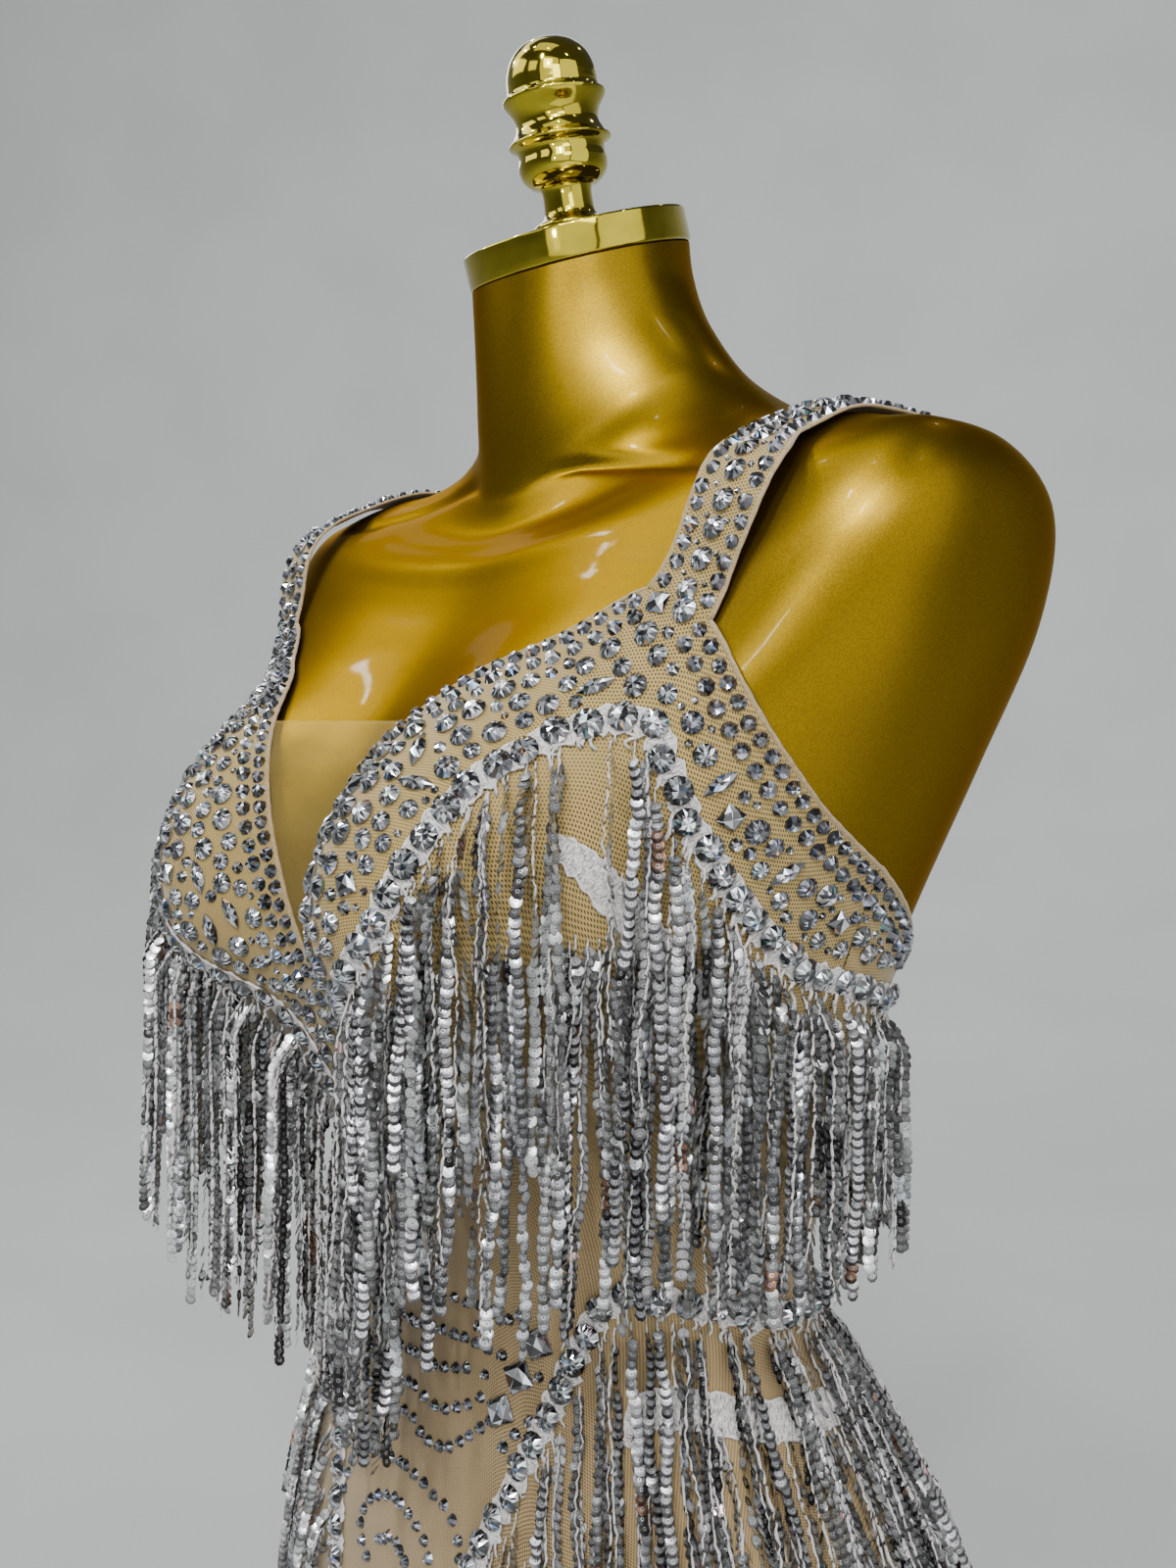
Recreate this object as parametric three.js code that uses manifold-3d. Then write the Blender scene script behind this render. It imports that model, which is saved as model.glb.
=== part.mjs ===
// Rhinestone fringe bodysuit on a limbless dress form.
// Units are millimetres, +Z is up, the front of the garment faces -Y and the
// form's left side is +X. The form stands on two flat leg ends at z = 0.
import * as THREE from 'three';
import { mergeVertices } from 'three/addons/utils/BufferGeometryUtils.js';
import Module from 'manifold-3d';

// ---------------------------------------------------------------- dimensions
const Y_SHIFT = 5.92;          // moves the whole part so its box is centred on the origin in Y
const CLOTH_GAP = 1.8;         // air between the form and the cloth
const CLOTH_WALL = 1.2;        // stretch mesh with its edge fold
const LACE_GAP = 1.4;          // air between the cloth and an applique
const LACE_WALL = 1.2;         // corded embroidery on its ground
const SEAM_GAP = 0.3;          // gap kept between two pieces at a seam
const FRINGE_AIR = 10.85;       // horizontal air between cloth and fringe, past the applique
const BUST_FRINGE_DEPTH = 9;   // depth of the bust fringe, front to back
const HIP_FRINGE_DEPTH = 7.5;  // depth of the hip fringe
const LEG_GAP_HALF = 35;       // half the width of the gap between the leg ends
const CROTCH_Z = 60;           // lowest point of the crotch
const STRAP_LIFT = 6;          // how far each strap stands off the hollow of the shoulder
const INSERT_WALL = 1.0;
const CAP = { y: -6.4, z: 737.5, tilt: 17.2, radius: 44.9, height: 13.1, edge: 1.2 };
const FINIAL = { tilt: 11.0, height: 72.2 };

// ------------------------------------------------------------ body of the form
// One row per horizontal section. zF, zS, zB: height at front, side and back.
// w: half width. F, B: reach to front and back. S: set-back of the widest point.
// n: squareness of the outline (2 = ellipse).
const SECTION = ['zF', 'zS', 'zB', 'w', 'F', 'B', 'S', 'n'];
const SECTIONS = [
  [-40, -40, -40, 150, 82, 104, 4, 2.6],         // control row below the base
  [0, 0, 0, 157, 85, 110, 4, 2.5],               // base
  [50, 50, 50, 166, 90, 119, 4, 2.4],
  [100, 100, 100, 171, 92, 126, 4, 2.3],
  [150, 150, 150, 172, 92, 130, 4, 2.25],        // hips
  [200, 200, 200, 169, 90, 128, 4, 2.2],
  [250, 251, 252, 156, 84, 112, 4, 2.2],
  [300, 300, 301, 131, 77, 87, 1, 2.2],
  [345, 343, 345, 111, 75.5, 61, -1.5, 2.2],     // waist
  [394.5, 393, 394.5, 115, 86, 64, -2, 2.2],
  [444, 443.5, 444.5, 129, 100, 75.5, 0.5, 2.3], // under the bust
  [495, 494, 495, 147, 109, 86, 3.5, 2.5],
  [541.5, 543.5, 544.5, 168.5, 103.5, 93, 7, 2.7],
  [575.5, 590.5, 587, 190, 82.5, 94, 9, 2.9],
  [594.5, 628, 619.5, 197.5, 69, 89, 7.5, 3.0],  // arm stubs
  [606.5, 650.5, 640, 186, 62.5, 82, 2.5, 2.8],
  [616.5, 655.5, 654, 164, 58.5, 77, -2, 2.5],
  [624, 660.5, 665, 140.5, 51.5, 72.5, 2, 2.3],  // shoulder line
  [631, 663.5, 675.5, 114.5, 45, 69.5, 11, 2.2],
  [640, 673, 686, 88, 42, 63.5, 18, 2.0],
  [649, 689, 697, 63.5, 41.5, 53.5, 15, 2.0],    // root of the neck
  [668.5, 708.5, 714.5, 50, 45.5, 44, 7, 2.0],
  [696, 722, 736, 44, 48, 39, -1, 2.0],
  [724, 734, 758, 42.5, 49.5, 37, -7.5, 2.0],
  [753, 764, 788, 43.5, 51, 36, -12, 2.0],       // end of the neck, cut off under the cap
  [785, 796, 818, 45, 53, 36, -16, 2.0],         // control row above the neck
];
const V_TOP = SECTIONS.length - 2;
// The bust of the form, and the way the cloth spans the hollow between the cups.
const BUST = { x: 76, z: 486, in: 46, out: 55, down: 48, up: 74, reach: 49, power: 1.25 };
const SPAN = { x: 0, z: 465, in: 45, out: 45, down: 85, up: 85, reach: 14, power: 1 };

const rad = THREE.MathUtils.degToRad;

function section(v) {
  const i = Math.min(Math.max(Math.floor(v), 1), SECTIONS.length - 3);
  const t = v - i, [a, b, c, d] = [SECTIONS[i - 1], SECTIONS[i], SECTIONS[i + 1], SECTIONS[i + 2]];
  const row = {};
  SECTION.forEach((name, k) => {
    row[name] = 0.5 * (2 * b[k] + (c[k] - a[k]) * t + (2 * a[k] - 5 * b[k] + 4 * c[k] - d[k]) * t * t
      + (3 * b[k] - a[k] - 3 * c[k] + d[k]) * t * t * t);
  });
  return row;
}

function swell(bump, x, z, cos) {
  const ux = (Math.abs(x) - bump.x) / (Math.abs(x) < bump.x ? bump.in : bump.out);
  const uz = (z - bump.z) / (z < bump.z ? bump.down : bump.up);
  return bump.reach * Math.exp(-Math.pow(ux * ux + uz * uz, bump.power)) * Math.sqrt(Math.max(cos, 0));
}

// Point on the form. phi is 0 at centre front and 90 degrees at the form's left
// side; v counts the sections. span = 1 adds the stretch of the cloth between the cups.
function formPoint(phi, v, span = 0) {
  const q = section(v), s = Math.sin(phi), c = Math.cos(phi);
  const d = c > 0 ? q.F + q.S : q.B - q.S;
  const a = Math.atan2(q.w * s, d * c), sa = Math.sin(a), ca = Math.cos(a);
  const r = Math.pow(Math.pow(Math.abs(sa / q.w), q.n) + Math.pow(Math.abs(ca / d), q.n), -1 / q.n);
  const x = r * sa, z = q.zS + (c > 0 ? q.zF - q.zS : q.zB - q.zS) * c * c;
  let y = q.S - r * ca;
  y -= swell(BUST, x, z, c);
  if (span) y -= span * swell(SPAN, x, z, c);
  return new THREE.Vector3(x, y, z);
}

function onSurface(phi, v, off, span = 1) {
  const e = 1e-3, p = formPoint(phi, v, span);
  const du = formPoint(phi + e, v, span).sub(formPoint(phi - e, v, span));
  const dv = formPoint(phi, v + e, span).sub(formPoint(phi, v - e, span));
  return p.addScaledVector(du.cross(dv).normalize(), off);
}

// Section number of the point at height z and angle phi.
function vAt(phi, z) {
  let lo = 0.6, hi = V_TOP;
  const c = Math.cos(phi);
  for (let k = 0; k < 40; k++) {
    const v = (lo + hi) / 2, q = section(v);
    if (q.zS + (c > 0 ? q.zF - q.zS : q.zB - q.zS) * c * c < z) lo = v; else hi = v;
  }
  return (lo + hi) / 2;
}
const atHeight = (deg, z, off, span = 1) => onSurface(rad(deg), vAt(rad(deg), z), off, span);

// ------------------------------------------------------------ mesh helpers
function solid(points, faces) {
  const pos = [];
  for (const p of points) pos.push(p.x, p.y, p.z);
  let volume = 0;
  for (const [a, b, c] of faces) volume += points[a].dot(new THREE.Vector3().crossVectors(points[b], points[c]));
  const index = [];
  for (const [a, b, c] of faces) volume > 0 ? index.push(a, b, c) : index.push(a, c, b);
  const g = new THREE.BufferGeometry();
  g.setAttribute('position', new THREE.Float32BufferAttribute(pos, 3));
  g.setIndex(index);
  return g;
}

// Wall between an inner and an outer grid of points, closed along its four edges.
function wall(inner, outer) {
  const R = inner.length, C = inner[0].length, points = [], faces = [];
  for (const grid of [inner, outer]) for (const row of grid) for (const p of row) points.push(p);
  const I = (r, c) => r * C + c, O = (r, c) => R * C + r * C + c;
  const quad = (a, b, c, d) => {
    if (points[a].distanceTo(points[c]) <= points[b].distanceTo(points[d])) faces.push([a, b, c], [a, c, d]);
    else faces.push([a, b, d], [b, c, d]);
  };
  for (let r = 0; r < R - 1; r++) for (let c = 0; c < C - 1; c++) {
    quad(I(r, c), I(r, c + 1), I(r + 1, c + 1), I(r + 1, c));
    quad(O(r, c), O(r + 1, c), O(r + 1, c + 1), O(r, c + 1));
  }
  for (let c = 0; c < C - 1; c++) {
    quad(I(0, c), O(0, c), O(0, c + 1), I(0, c + 1));
    quad(I(R - 1, c), I(R - 1, c + 1), O(R - 1, c + 1), O(R - 1, c));
  }
  for (let r = 0; r < R - 1; r++) {
    quad(I(r, 0), I(r + 1, 0), O(r + 1, 0), O(r, 0));
    quad(I(r, C - 1), O(r, C - 1), O(r + 1, C - 1), I(r + 1, C - 1));
  }
  return solid(points, faces);
}

// Solid from a stack of closed rings with flat ends.
function loft(rings) {
  const n = rings[0].length, points = [], faces = [];
  for (const ring of rings) points.push(...ring);
  for (let r = 0; r < rings.length - 1; r++) for (let c = 0; c < n; c++) {
    const a = r * n + c, b = r * n + (c + 1) % n;
    faces.push([a, b, b + n], [a, b + n, a + n]);
  }
  for (const [r, flip] of [[0, true], [rings.length - 1, false]]) {
    const mid = points.length;
    points.push(rings[r].reduce((s, p) => s.add(p), new THREE.Vector3()).divideScalar(n));
    for (let c = 0; c < n; c++) {
      const a = r * n + c, b = r * n + (c + 1) % n;
      faces.push(flip ? [mid, b, a] : [mid, a, b]);
    }
  }
  return solid(points, faces);
}

const mirrored = (rows) => rows.map((row) => row.map((p) => new THREE.Vector3(-p.x, p.y, p.z)));

// Value at x in a table of rows, by name of the columns.
function look(table, names, x) {
  let k = 0;
  while (k < table.length - 2 && x > table[k + 1][0]) k++;
  const t = THREE.MathUtils.clamp((x - table[k][0]) / (table[k + 1][0] - table[k][0]), 0, 1);
  const out = {};
  names.forEach((name, i) => { out[name] = table[k][i] + (table[k + 1][i] - table[k][i]) * t; });
  return out;
}

// ------------------------------------------------------------ manifold joins
const wasm = await Module();
wasm.setup();
function toManifold(geometry) {
  const g = geometry.clone();
  g.deleteAttribute('normal');
  g.deleteAttribute('uv');
  const m = mergeVertices(g, 1e-4);
  return new wasm.Manifold(new wasm.Mesh({
    numProp: 3, vertProperties: new Float32Array(m.attributes.position.array), triVerts: new Uint32Array(m.index.array),
  }));
}
function fromManifold(man) {
  const mesh = man.getMesh(), g = new THREE.BufferGeometry(), pos = [];
  for (let i = 0; i < mesh.numVert; i++) {
    for (let k = 0; k < 3; k++) pos.push(mesh.vertProperties[i * mesh.numProp + k]);
  }
  g.setAttribute('position', new THREE.Float32BufferAttribute(pos, 3));
  g.setIndex(Array.from(mesh.triVerts));
  return g;
}

// ------------------------------------------------------------ dress form
const PHI_FORM = [];           // denser over the bust
for (let a = -66; a <= 66; a += 6.6) PHI_FORM.push(a);
for (let a = 78; a <= 282; a += 12) PHI_FORM.push(a);
const V_FORM = [1, 2, 3, 4, 5, 6, 6.5, 7, 7.5, 8, 8.5, 9, 9.5, 9.8, 10.1, 10.35, 10.6, 10.85, 11.1, 11.4, 11.7, 12,
  12.4, 12.8, 13.4, 14, 14.5, 15, 15.5, 16, 16.7, 17.4, 18, 18.7, 19.3, 20, 20.5, 21, 22, 23, 24];

// Height of the crotch along the body: a saddle that rises to front and back.
const saddleZ = (y) => CROTCH_Z + 38 * Math.pow(Math.abs(y - 8) / 98, 2.5);

function formTorso() {
  const body = loft(V_FORM.map((v) => PHI_FORM.map((deg) => formPoint(rad(deg), v))));
  // The gap between the leg ends, as a stack of arches along Y.
  const arches = [];
  for (let y = -190; y <= 190; y += 20) {
    const top = saddleZ(THREE.MathUtils.clamp(y, -128, 140)), h = LEG_GAP_HALF, ring = [];
    ring.push(new THREE.Vector3(-h, y, -20));
    ring.push(new THREE.Vector3(h, y, -20));
    for (const a of [0, 22.5, 45, 67.5, 90]) {
      ring.push(new THREE.Vector3(h - 9 + 9 * Math.cos(rad(a)), y, top - 9 + 9 * Math.sin(rad(a))));
    }
    for (const a of [90, 112.5, 135, 157.5, 180]) {
      ring.push(new THREE.Vector3(-h + 9 + 9 * Math.cos(rad(a)), y, top - 9 + 9 * Math.sin(rad(a))));
    }
    arches.push(ring);
  }
  // Everything above the plane of the neck cap.
  const over = new THREE.BoxGeometry(300, 300, 200);
  over.translate(0, 0, 100);
  over.rotateX(rad(CAP.tilt));
  over.translate(0, CAP.y, CAP.z);
  return fromManifold(toManifold(body).subtract(toManifold(loft(arches))).subtract(toManifold(over)));
}

function place(geometry, tilt, lift) {
  geometry.rotateX(rad(tilt));
  geometry.translate(0, CAP.y - Math.sin(rad(CAP.tilt)) * lift, CAP.z + Math.cos(rad(CAP.tilt)) * lift);
  return geometry;
}

// Turned profile about +Z: pairs of radius and height.
function turned(profile, segments) {
  const g = new THREE.LatheGeometry(profile.map(([r, z]) => new THREE.Vector2(r, z)), segments);
  g.rotateX(Math.PI / 2);
  g.deleteAttribute('uv');
  g.deleteAttribute('normal');
  return mergeVertices(g, 1e-3);
}

function neckCap() {
  const { radius: R, height: H, edge: e } = CAP;
  return place(turned([[0, 0], [R - e, 0], [R, e], [R, H - e], [R - e, H], [0, H]], 36), CAP.tilt, 0.3);
}

const FINIAL_PROFILE = [        // radius, share of the finial's height
  [0, 0], [15.2, 0], [15.2, 0.02], [11.5, 0.05], [10, 0.09], [10, 0.21], [13.5, 0.235], [16.6, 0.28], [17.6, 0.335],
  [17, 0.39], [17.6, 0.425], [20.3, 0.455], [18.2, 0.49], [16.3, 0.55], [17.2, 0.61], [20.4, 0.685], [18.2, 0.715],
  [17.9, 0.75], [17.4, 0.82], [15.2, 0.9], [11, 0.96], [5.6, 0.992], [0, 1],
];
function finial() {
  const g = turned(FINIAL_PROFILE.map(([r, s]) => [r, s * FINIAL.height]), 22);
  return place(g, FINIAL.tilt, 0.3 + CAP.height + 0.3 + 15.2 * Math.sin(rad(CAP.tilt - FINIAL.tilt)));
}

// ------------------------------------------------------------ cloth panels
// One row per column of the half panel, centre to side.
// phiB, zB: angle and height at the crotch seam or leg opening.
// phiT, zT: angle and height at the neckline, strap base, armhole or back edge.
const PANEL = ['s', 'phiB', 'zB', 'phiT', 'zT'];
const FRONT = [
  [0, 0, 104, 0, 467],           // bottom of the plunge
  [1, 3, 104, 4, 489.5],
  [2, 6, 104, 8.5, 514],
  [3, 9.2, 104, 13, 539],
  [4, 13, 112, 16.5, 555],       // top of the sheer insert
  [5, 19, 124, 21, 571.5],
  [6, 26, 140, 27, 582],
  [7, 33, 156, 34.5, 598],       // strap base, inner
  [8, 41, 173, 39.3, 592.8],
  [9, 49, 188, 44, 587],         // strap base, outer
  [10, 57, 201, 51, 571.5],
  [11, 66, 214, 61, 552],
  [12, 77, 226, 74, 530],
  [13, 89.87, 235, 89.87, 511],  // side seam
];
const BACK = [
  [0, 90.13, 235, 90.13, 511],   // side seam
  [1, 101, 222, 101, 500.5],
  [2, 112, 206, 111.5, 490],
  [3, 123, 188, 122, 480],
  [4, 134, 169, 133, 473],
  [5, 143, 153, 144, 469],       // strap base, outer
  [6, 151, 140, 154, 467],       // strap base, inner
  [7, 158, 129, 163, 465],
  [8, 165, 120, 171, 463.5],
  [9, 170.8, 116, 175.5, 463],
  [10, 180, 116, 180, 463],      // centre back
];
const RISE = [0, 0.09, 0.18, 0.27, 0.35, 0.41, 0.47, 0.53, 0.59, 0.65, 0.7, 0.74, 0.775, 0.81, 0.845, 0.88, 0.915, 0.955, 1];

function panelGrid(table, off) {
  return RISE.map((t) => table.map((row) => {
    const [, phiB, zB, phiT, zT] = row;
    return atHeight(phiB + (phiT - phiB) * t, zB + (zT - zB) * t, off);
  }));
}
function panel(table) {
  const both = (off) => {
    const half = panelGrid(table, off), onCentre = (row) => Math.abs(Math.sin(rad(row[1]))) < 1e-6;
    const mid = onCentre(table[0]) ? 0 : table.length - 1;
    return half.map((row) => {
      const other = row.map((p) => new THREE.Vector3(-p.x, p.y, p.z));
      row[mid].x = 0;
      return mid === 0 ? [...other.slice(1).reverse(), ...row] : [...row, ...other.slice(0, -1).reverse()];
    });
  };
  return wall(both(CLOTH_GAP), both(CLOTH_GAP + CLOTH_WALL));
}

// Sheer insert, flat across the plunge between the two neckline edges.
function plungeInsert() {
  const corner = (off) => FRONT.slice(0, 5).map(([, , , phi, z]) => atHeight(phi, z, off));
  const low = corner(CLOTH_GAP), high = corner(CLOTH_GAP + CLOTH_WALL), inner = [], outer = [];
  low[0].x = high[0].x = 0;
  for (let k = 0; k <= 8; k++) {
    const s = 0.32 + (3.97 - 0.32) * (k / 8), i = Math.min(Math.floor(s), 3), t = s - i;
    const a = low[i].clone().lerp(low[i + 1], t), b = high[i].clone().lerp(high[i + 1], t);
    const x = Math.min(a.x, b.x) - 3 * SEAM_GAP, y = (a.y + b.y) / 2, z = (a.z + b.z) / 2;
    const row = (dy) => [-1, -0.5, 0, 0.5, 1].map((u) => new THREE.Vector3(u * x, y + dy, z));
    inner.push(row(INSERT_WALL / 2));
    outer.push(row(-INSERT_WALL / 2));
  }
  return wall(inner, outer);
}

// Shoulder strap of the form's left side, front to back.
// phiI, vI: inner edge. phiO, vO: outer edge.
const STRAP = ['s', 'phiI', 'vI', 'phiO', 'vO'];
const STRAP_ROWS = [
  [0, 34.5, 13.64, 44, 13.14],
  [1, 37.3, 14.5, 44.3, 13.85],
  [2, 43, 15.42, 47.5, 14.48],
  [3, 51.5, 16.28, 53.5, 15.15],
  [4, 63, 16.98, 62.5, 15.85],
  [5, 84, 17.42, 83, 16.3],      // top of the shoulder
  [6, 108, 17.32, 108, 16.18],
  [7, 132.5, 16.25, 128, 15.4],
  [8, 145.5, 14.8, 138.5, 14.35],
  [9, 150.5, 13.55, 141.8, 13.3],
  [10, 152.6, 12.6, 143.4, 12.45],
  [11, 153.6, 11.8, 144, 11.7],
  [12, 154, 11.1, 144.2, 11.1],
  [13, 154, 10.42, 144, 10.53],
];
function strapRows(off) {
  const rows = [], steps = 36, last = STRAP_ROWS.length - 1;
  const ends = [atHeight(34.5, 598, off), atHeight(44, 587, off)];
  for (let k = 0; k <= steps; k++) {
    const s = last * k / steps, q = look(STRAP_ROWS, STRAP, s);
    const lift = s < 4.6 ? STRAP_LIFT * Math.pow(Math.sin(Math.PI * s / 4.6), 2) : 0;
    rows.push([0, 0.5, 1].map((u) => onSurface(rad(q.phiI + (q.phiO - q.phiI) * u), q.vI + (q.vO - q.vI) * u, off + lift)));
  }
  // The two ends stop a seam gap short of the front and back panels.
  const front = FRONT.slice(7, 10), back = BACK.slice(5, 7);
  rows[0] = front.map(([, , , phi, z]) => atHeight(phi, z + 2 * SEAM_GAP, off));
  rows[steps] = [back[1], [0, 0, 0, 149, 468], back[0]].map(([, , , phi, z]) => atHeight(phi, z + 2 * SEAM_GAP, off));
  return rows;
}

// Crotch gusset under the saddle, from the front seam to the back seam.
function gusset() {
  const half = 26.5, inner = [], outer = [];
  const frontSeam = FRONT[0][2], backSeam = BACK[10][2];
  const path = [];
  for (const z of [frontSeam - 2 * SEAM_GAP, frontSeam - 5]) path.push([atHeight(0, z, CLOTH_GAP).y, z]);
  for (let y = -84; y <= 104; y += 14) path.push([y, saddleZ(y) - CLOTH_GAP]);
  for (const z of [backSeam - 5, backSeam - 2 * SEAM_GAP]) path.push([atHeight(180, z, CLOTH_GAP).y, z]);
  path.forEach(([y, z], k) => {
    const a = path[Math.max(k - 1, 0)], b = path[Math.min(k + 1, path.length - 1)];
    const ty = b[0] - a[0], tz = b[1] - a[1], L = Math.hypot(ty, tz);
    const ny = tz / L, nz = -ty / L;                // away from the form
    inner.push([-half, 0, half].map((x) => new THREE.Vector3(x, y, z)));
    outer.push([-half, 0, half].map((x) => new THREE.Vector3(x, y + ny * CLOTH_WALL, z + nz * CLOTH_WALL)));
  });
  return wall(inner, outer);
}

// ------------------------------------------------------------ lace appliques
// Centre line of each applique on the form's left side: angle and height, with its width.
const LACE = ['phi', 'z', 'width'];
const LACE_CUP = [
  [3.4, 405, 8], [6.5, 430, 10], [13, 449, 13], [24, 466, 14], [31.5, 487, 14], [33.6, 508, 13], [34, 527, 13],
  [35.5, 544, 13], [40, 555, 13], [45, 556, 13], [50, 544, 13], [55.5, 528, 13], [61, 514, 13], [68, 500, 13],
  [76, 485, 13], [85, 475, 13], [98, 468, 13], [110, 464, 12], [121, 461, 10],
];
const LACE_BAND = [[44, 520, 6], [49, 511, 11], [55, 497, 12], [61, 483, 12], [67, 470, 11], [73, 462, 6]];
const LACE_HIP = [
  [11.5, 196, 8], [14.5, 228, 12], [19, 260, 14], [27, 292, 15], [34.5, 316, 15], [42, 338, 15], [48, 354, 15],
  [56, 361.5, 15], [66, 358.5, 14], [79, 353, 14], [93, 349, 14], [108, 347, 14], [124, 346, 14], [140, 345.5, 14],
  [155, 345, 14], [168, 345, 14], [179.7, 345, 14],
];
const LACE_CURL = [[50, 310, 6], [54, 321, 12], [62, 323, 14], [72, 320, 14], [83, 316.5, 14], [95, 315, 14], [107, 315, 12], [118, 319, 7]];

// Rows of a table, with one more row halfway between each two, on a smooth curve.
function halved(rows) {
  const out = [];
  rows.forEach((row, k) => {
    out.push(row);
    if (k === rows.length - 1) return;
    const before = rows[Math.max(k - 1, 0)], next = rows[k + 1], after = rows[Math.min(k + 2, rows.length - 1)];
    out.push(row.map((value, i) => (9 * (value + next[i]) - before[i] - after[i]) / 16));
  });
  return out;
}

function lace(rows, off) {
  const table = halved(rows);
  const centre = table.map(([phi, z]) => atHeight(phi, z, off));
  return table.map(([phi, z, width], k) => {
    const a = centre[Math.max(k - 1, 0)], b = centre[Math.min(k + 1, centre.length - 1)];
    const tangent = b.clone().sub(a).normalize();
    const up = atHeight(phi, z + 1, off).sub(centre[k]);
    const side = atHeight(phi + 0.3, z, off).sub(centre[k]);
    // Step across the strip measured on the cloth itself.
    const normal = side.clone().cross(up).normalize(), across = normal.clone().cross(tangent).normalize();
    const du = across.dot(side) / side.lengthSq(), dz = across.dot(up) / up.lengthSq();
    return [-0.5, 0, 0.5].map((u) => atHeight(phi + 0.3 * du * u * width, z + dz * u * width, off));
  });
}
const LACE_LOW = CLOTH_GAP + CLOTH_WALL + LACE_GAP, LACE_HIGH = LACE_LOW + LACE_WALL;

// ------------------------------------------------------------ fringe
// Radius from the Z axis of the cloth at polar angle theta and height z.
function radiusAt(theta, z) {
  let phi = theta, p;
  for (let k = 0; k < 14; k++) {
    p = formPoint(phi, vAt(phi, z), 1);
    phi += 0.85 * (theta - Math.atan2(p.x, -p.y));
  }
  return Math.hypot(p.x, p.y);
}
// The fringe hangs plumb from its highest row and is pushed out by whatever it meets below.
function curtain(table, depth, rowsDown) {
  const inner = [], outer = [];
  for (let k = 0; k < rowsDown.length; k++) { inner.push([]); outer.push([]); }
  for (const [phi, top, bottom] of table) {
    const p = atHeight(phi, top, 0), theta = Math.atan2(p.x, -p.y);
    let reach = 0, z = top;
    rowsDown.forEach((t, k) => {
      const goal = top + (bottom - top) * t;
      for (; z >= goal - 1e-6; z -= 4) reach = Math.max(reach, radiusAt(theta, z));
      reach = Math.max(reach, radiusAt(theta, goal));
      // The next facet must also clear what lies just below this row.
      let ahead = reach;
      const next = top + (bottom - top) * (rowsDown[Math.min(k + 1, rowsDown.length - 1)]);
      for (let zz = goal; zz > next; zz -= 4) ahead = Math.max(ahead, radiusAt(theta, zz));
      const r = 0.3 * reach + 0.7 * ahead + FRINGE_AIR;
      inner[k].push(new THREE.Vector3(Math.sin(theta) * r, -Math.cos(theta) * r, goal));
      outer[k].push(new THREE.Vector3(Math.sin(theta) * (r + depth), -Math.cos(theta) * (r + depth), goal));
    });
  }
  return [inner, outer];
}
// phi, height of the attaching row, height of the free ends.
const FRINGE_BUST = [
  [0.4, 398, 276], [8, 430, 288], [18, 452, 314], [26, 470, 328], [31.5, 496, 340], [34.3, 530, 352], [37, 546, 358],
  [42, 552, 364], [48, 545, 367], [56, 524, 369], [64, 506, 369], [74, 487, 368], [86, 473, 368], [100, 466, 370],
  [112, 462, 373], [122, 459, 376],
];
const FRINGE_HIP = [
  [17, 238, 120], [23, 270, 128], [30, 298, 138], [38, 322, 148], [46, 345, 158], [56, 352, 166], [68, 350, 172],
  [80, 345, 176], [92, 342, 178], [106, 340, 178], [120, 339, 176], [134, 338, 174], [148, 338, 172], [164, 338, 170],
  [179.6, 338, 170],
];

// ------------------------------------------------------------ assembly
const COLOUR = {
  gold: { color: 0x9a7420, roughness: 0.28, metalness: 0.85 },
  brass: { color: 0xc9a227, roughness: 0.12, metalness: 1 },
  mesh: { color: 0xb39b7a, roughness: 0.8, metalness: 0 },
  sheer: { color: 0xc8ab82, roughness: 0.7, metalness: 0 },
  lace: { color: 0xdedfe0, roughness: 0.75, metalness: 0 },
  sequin: { color: 0x9a9ca2, roughness: 0.25, metalness: 0.8 },
};
const group = new THREE.Group();
function add(name, geometry, finish) {
  const mesh = new THREE.Mesh(geometry, new THREE.MeshStandardMaterial(COLOUR[finish]));
  mesh.name = name;
  group.add(mesh);
}
function addPair(name, [inner, outer], finish) {
  add(`${name}_left`, wall(inner, outer), finish);
  add(`${name}_right`, wall(mirrored(inner), mirrored(outer)), finish);
}

add('form_torso', formTorso(), 'gold');
add('form_neck_cap', neckCap(), 'brass');
add('form_finial', finial(), 'brass');
add('bodysuit_front', panel(FRONT), 'mesh');
add('bodysuit_back', panel(BACK), 'mesh');
add('plunge_insert', plungeInsert(), 'sheer');
addPair('strap', [strapRows(CLOTH_GAP), strapRows(CLOTH_GAP + CLOTH_WALL)], 'mesh');
add('crotch_gusset', gusset(), 'mesh');
addPair('lace_cup', [lace(LACE_CUP, LACE_LOW), lace(LACE_CUP, LACE_HIGH)], 'lace');
addPair('lace_band', [lace(LACE_BAND, LACE_LOW), lace(LACE_BAND, LACE_HIGH)], 'lace');
addPair('lace_hip', [lace(LACE_HIP, LACE_LOW), lace(LACE_HIP, LACE_HIGH)], 'lace');
addPair('lace_curl', [lace(LACE_CURL, LACE_LOW), lace(LACE_CURL, LACE_HIGH)], 'lace');
addPair('fringe_bust', curtain(FRINGE_BUST, BUST_FRINGE_DEPTH, [0, 0.12, 0.26, 0.42, 0.62, 0.82, 1]), 'sequin');
addPair('fringe_hip', curtain(FRINGE_HIP, HIP_FRINGE_DEPTH, [0, 0.14, 0.28, 0.43, 0.6, 0.8, 1]), 'sequin');
group.position.y = Y_SHIFT;

export default group;
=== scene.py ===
"""Rhinestone fringe bodysuit on a limbless gold dress form.

The sizes below are in millimetres in the form's own coordinates: +Z up, front to -Y, the form's left to +X.
Y_SHIFT moves them to the shared frame. The meshes are made in metres in that frame.
"""
import math

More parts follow.
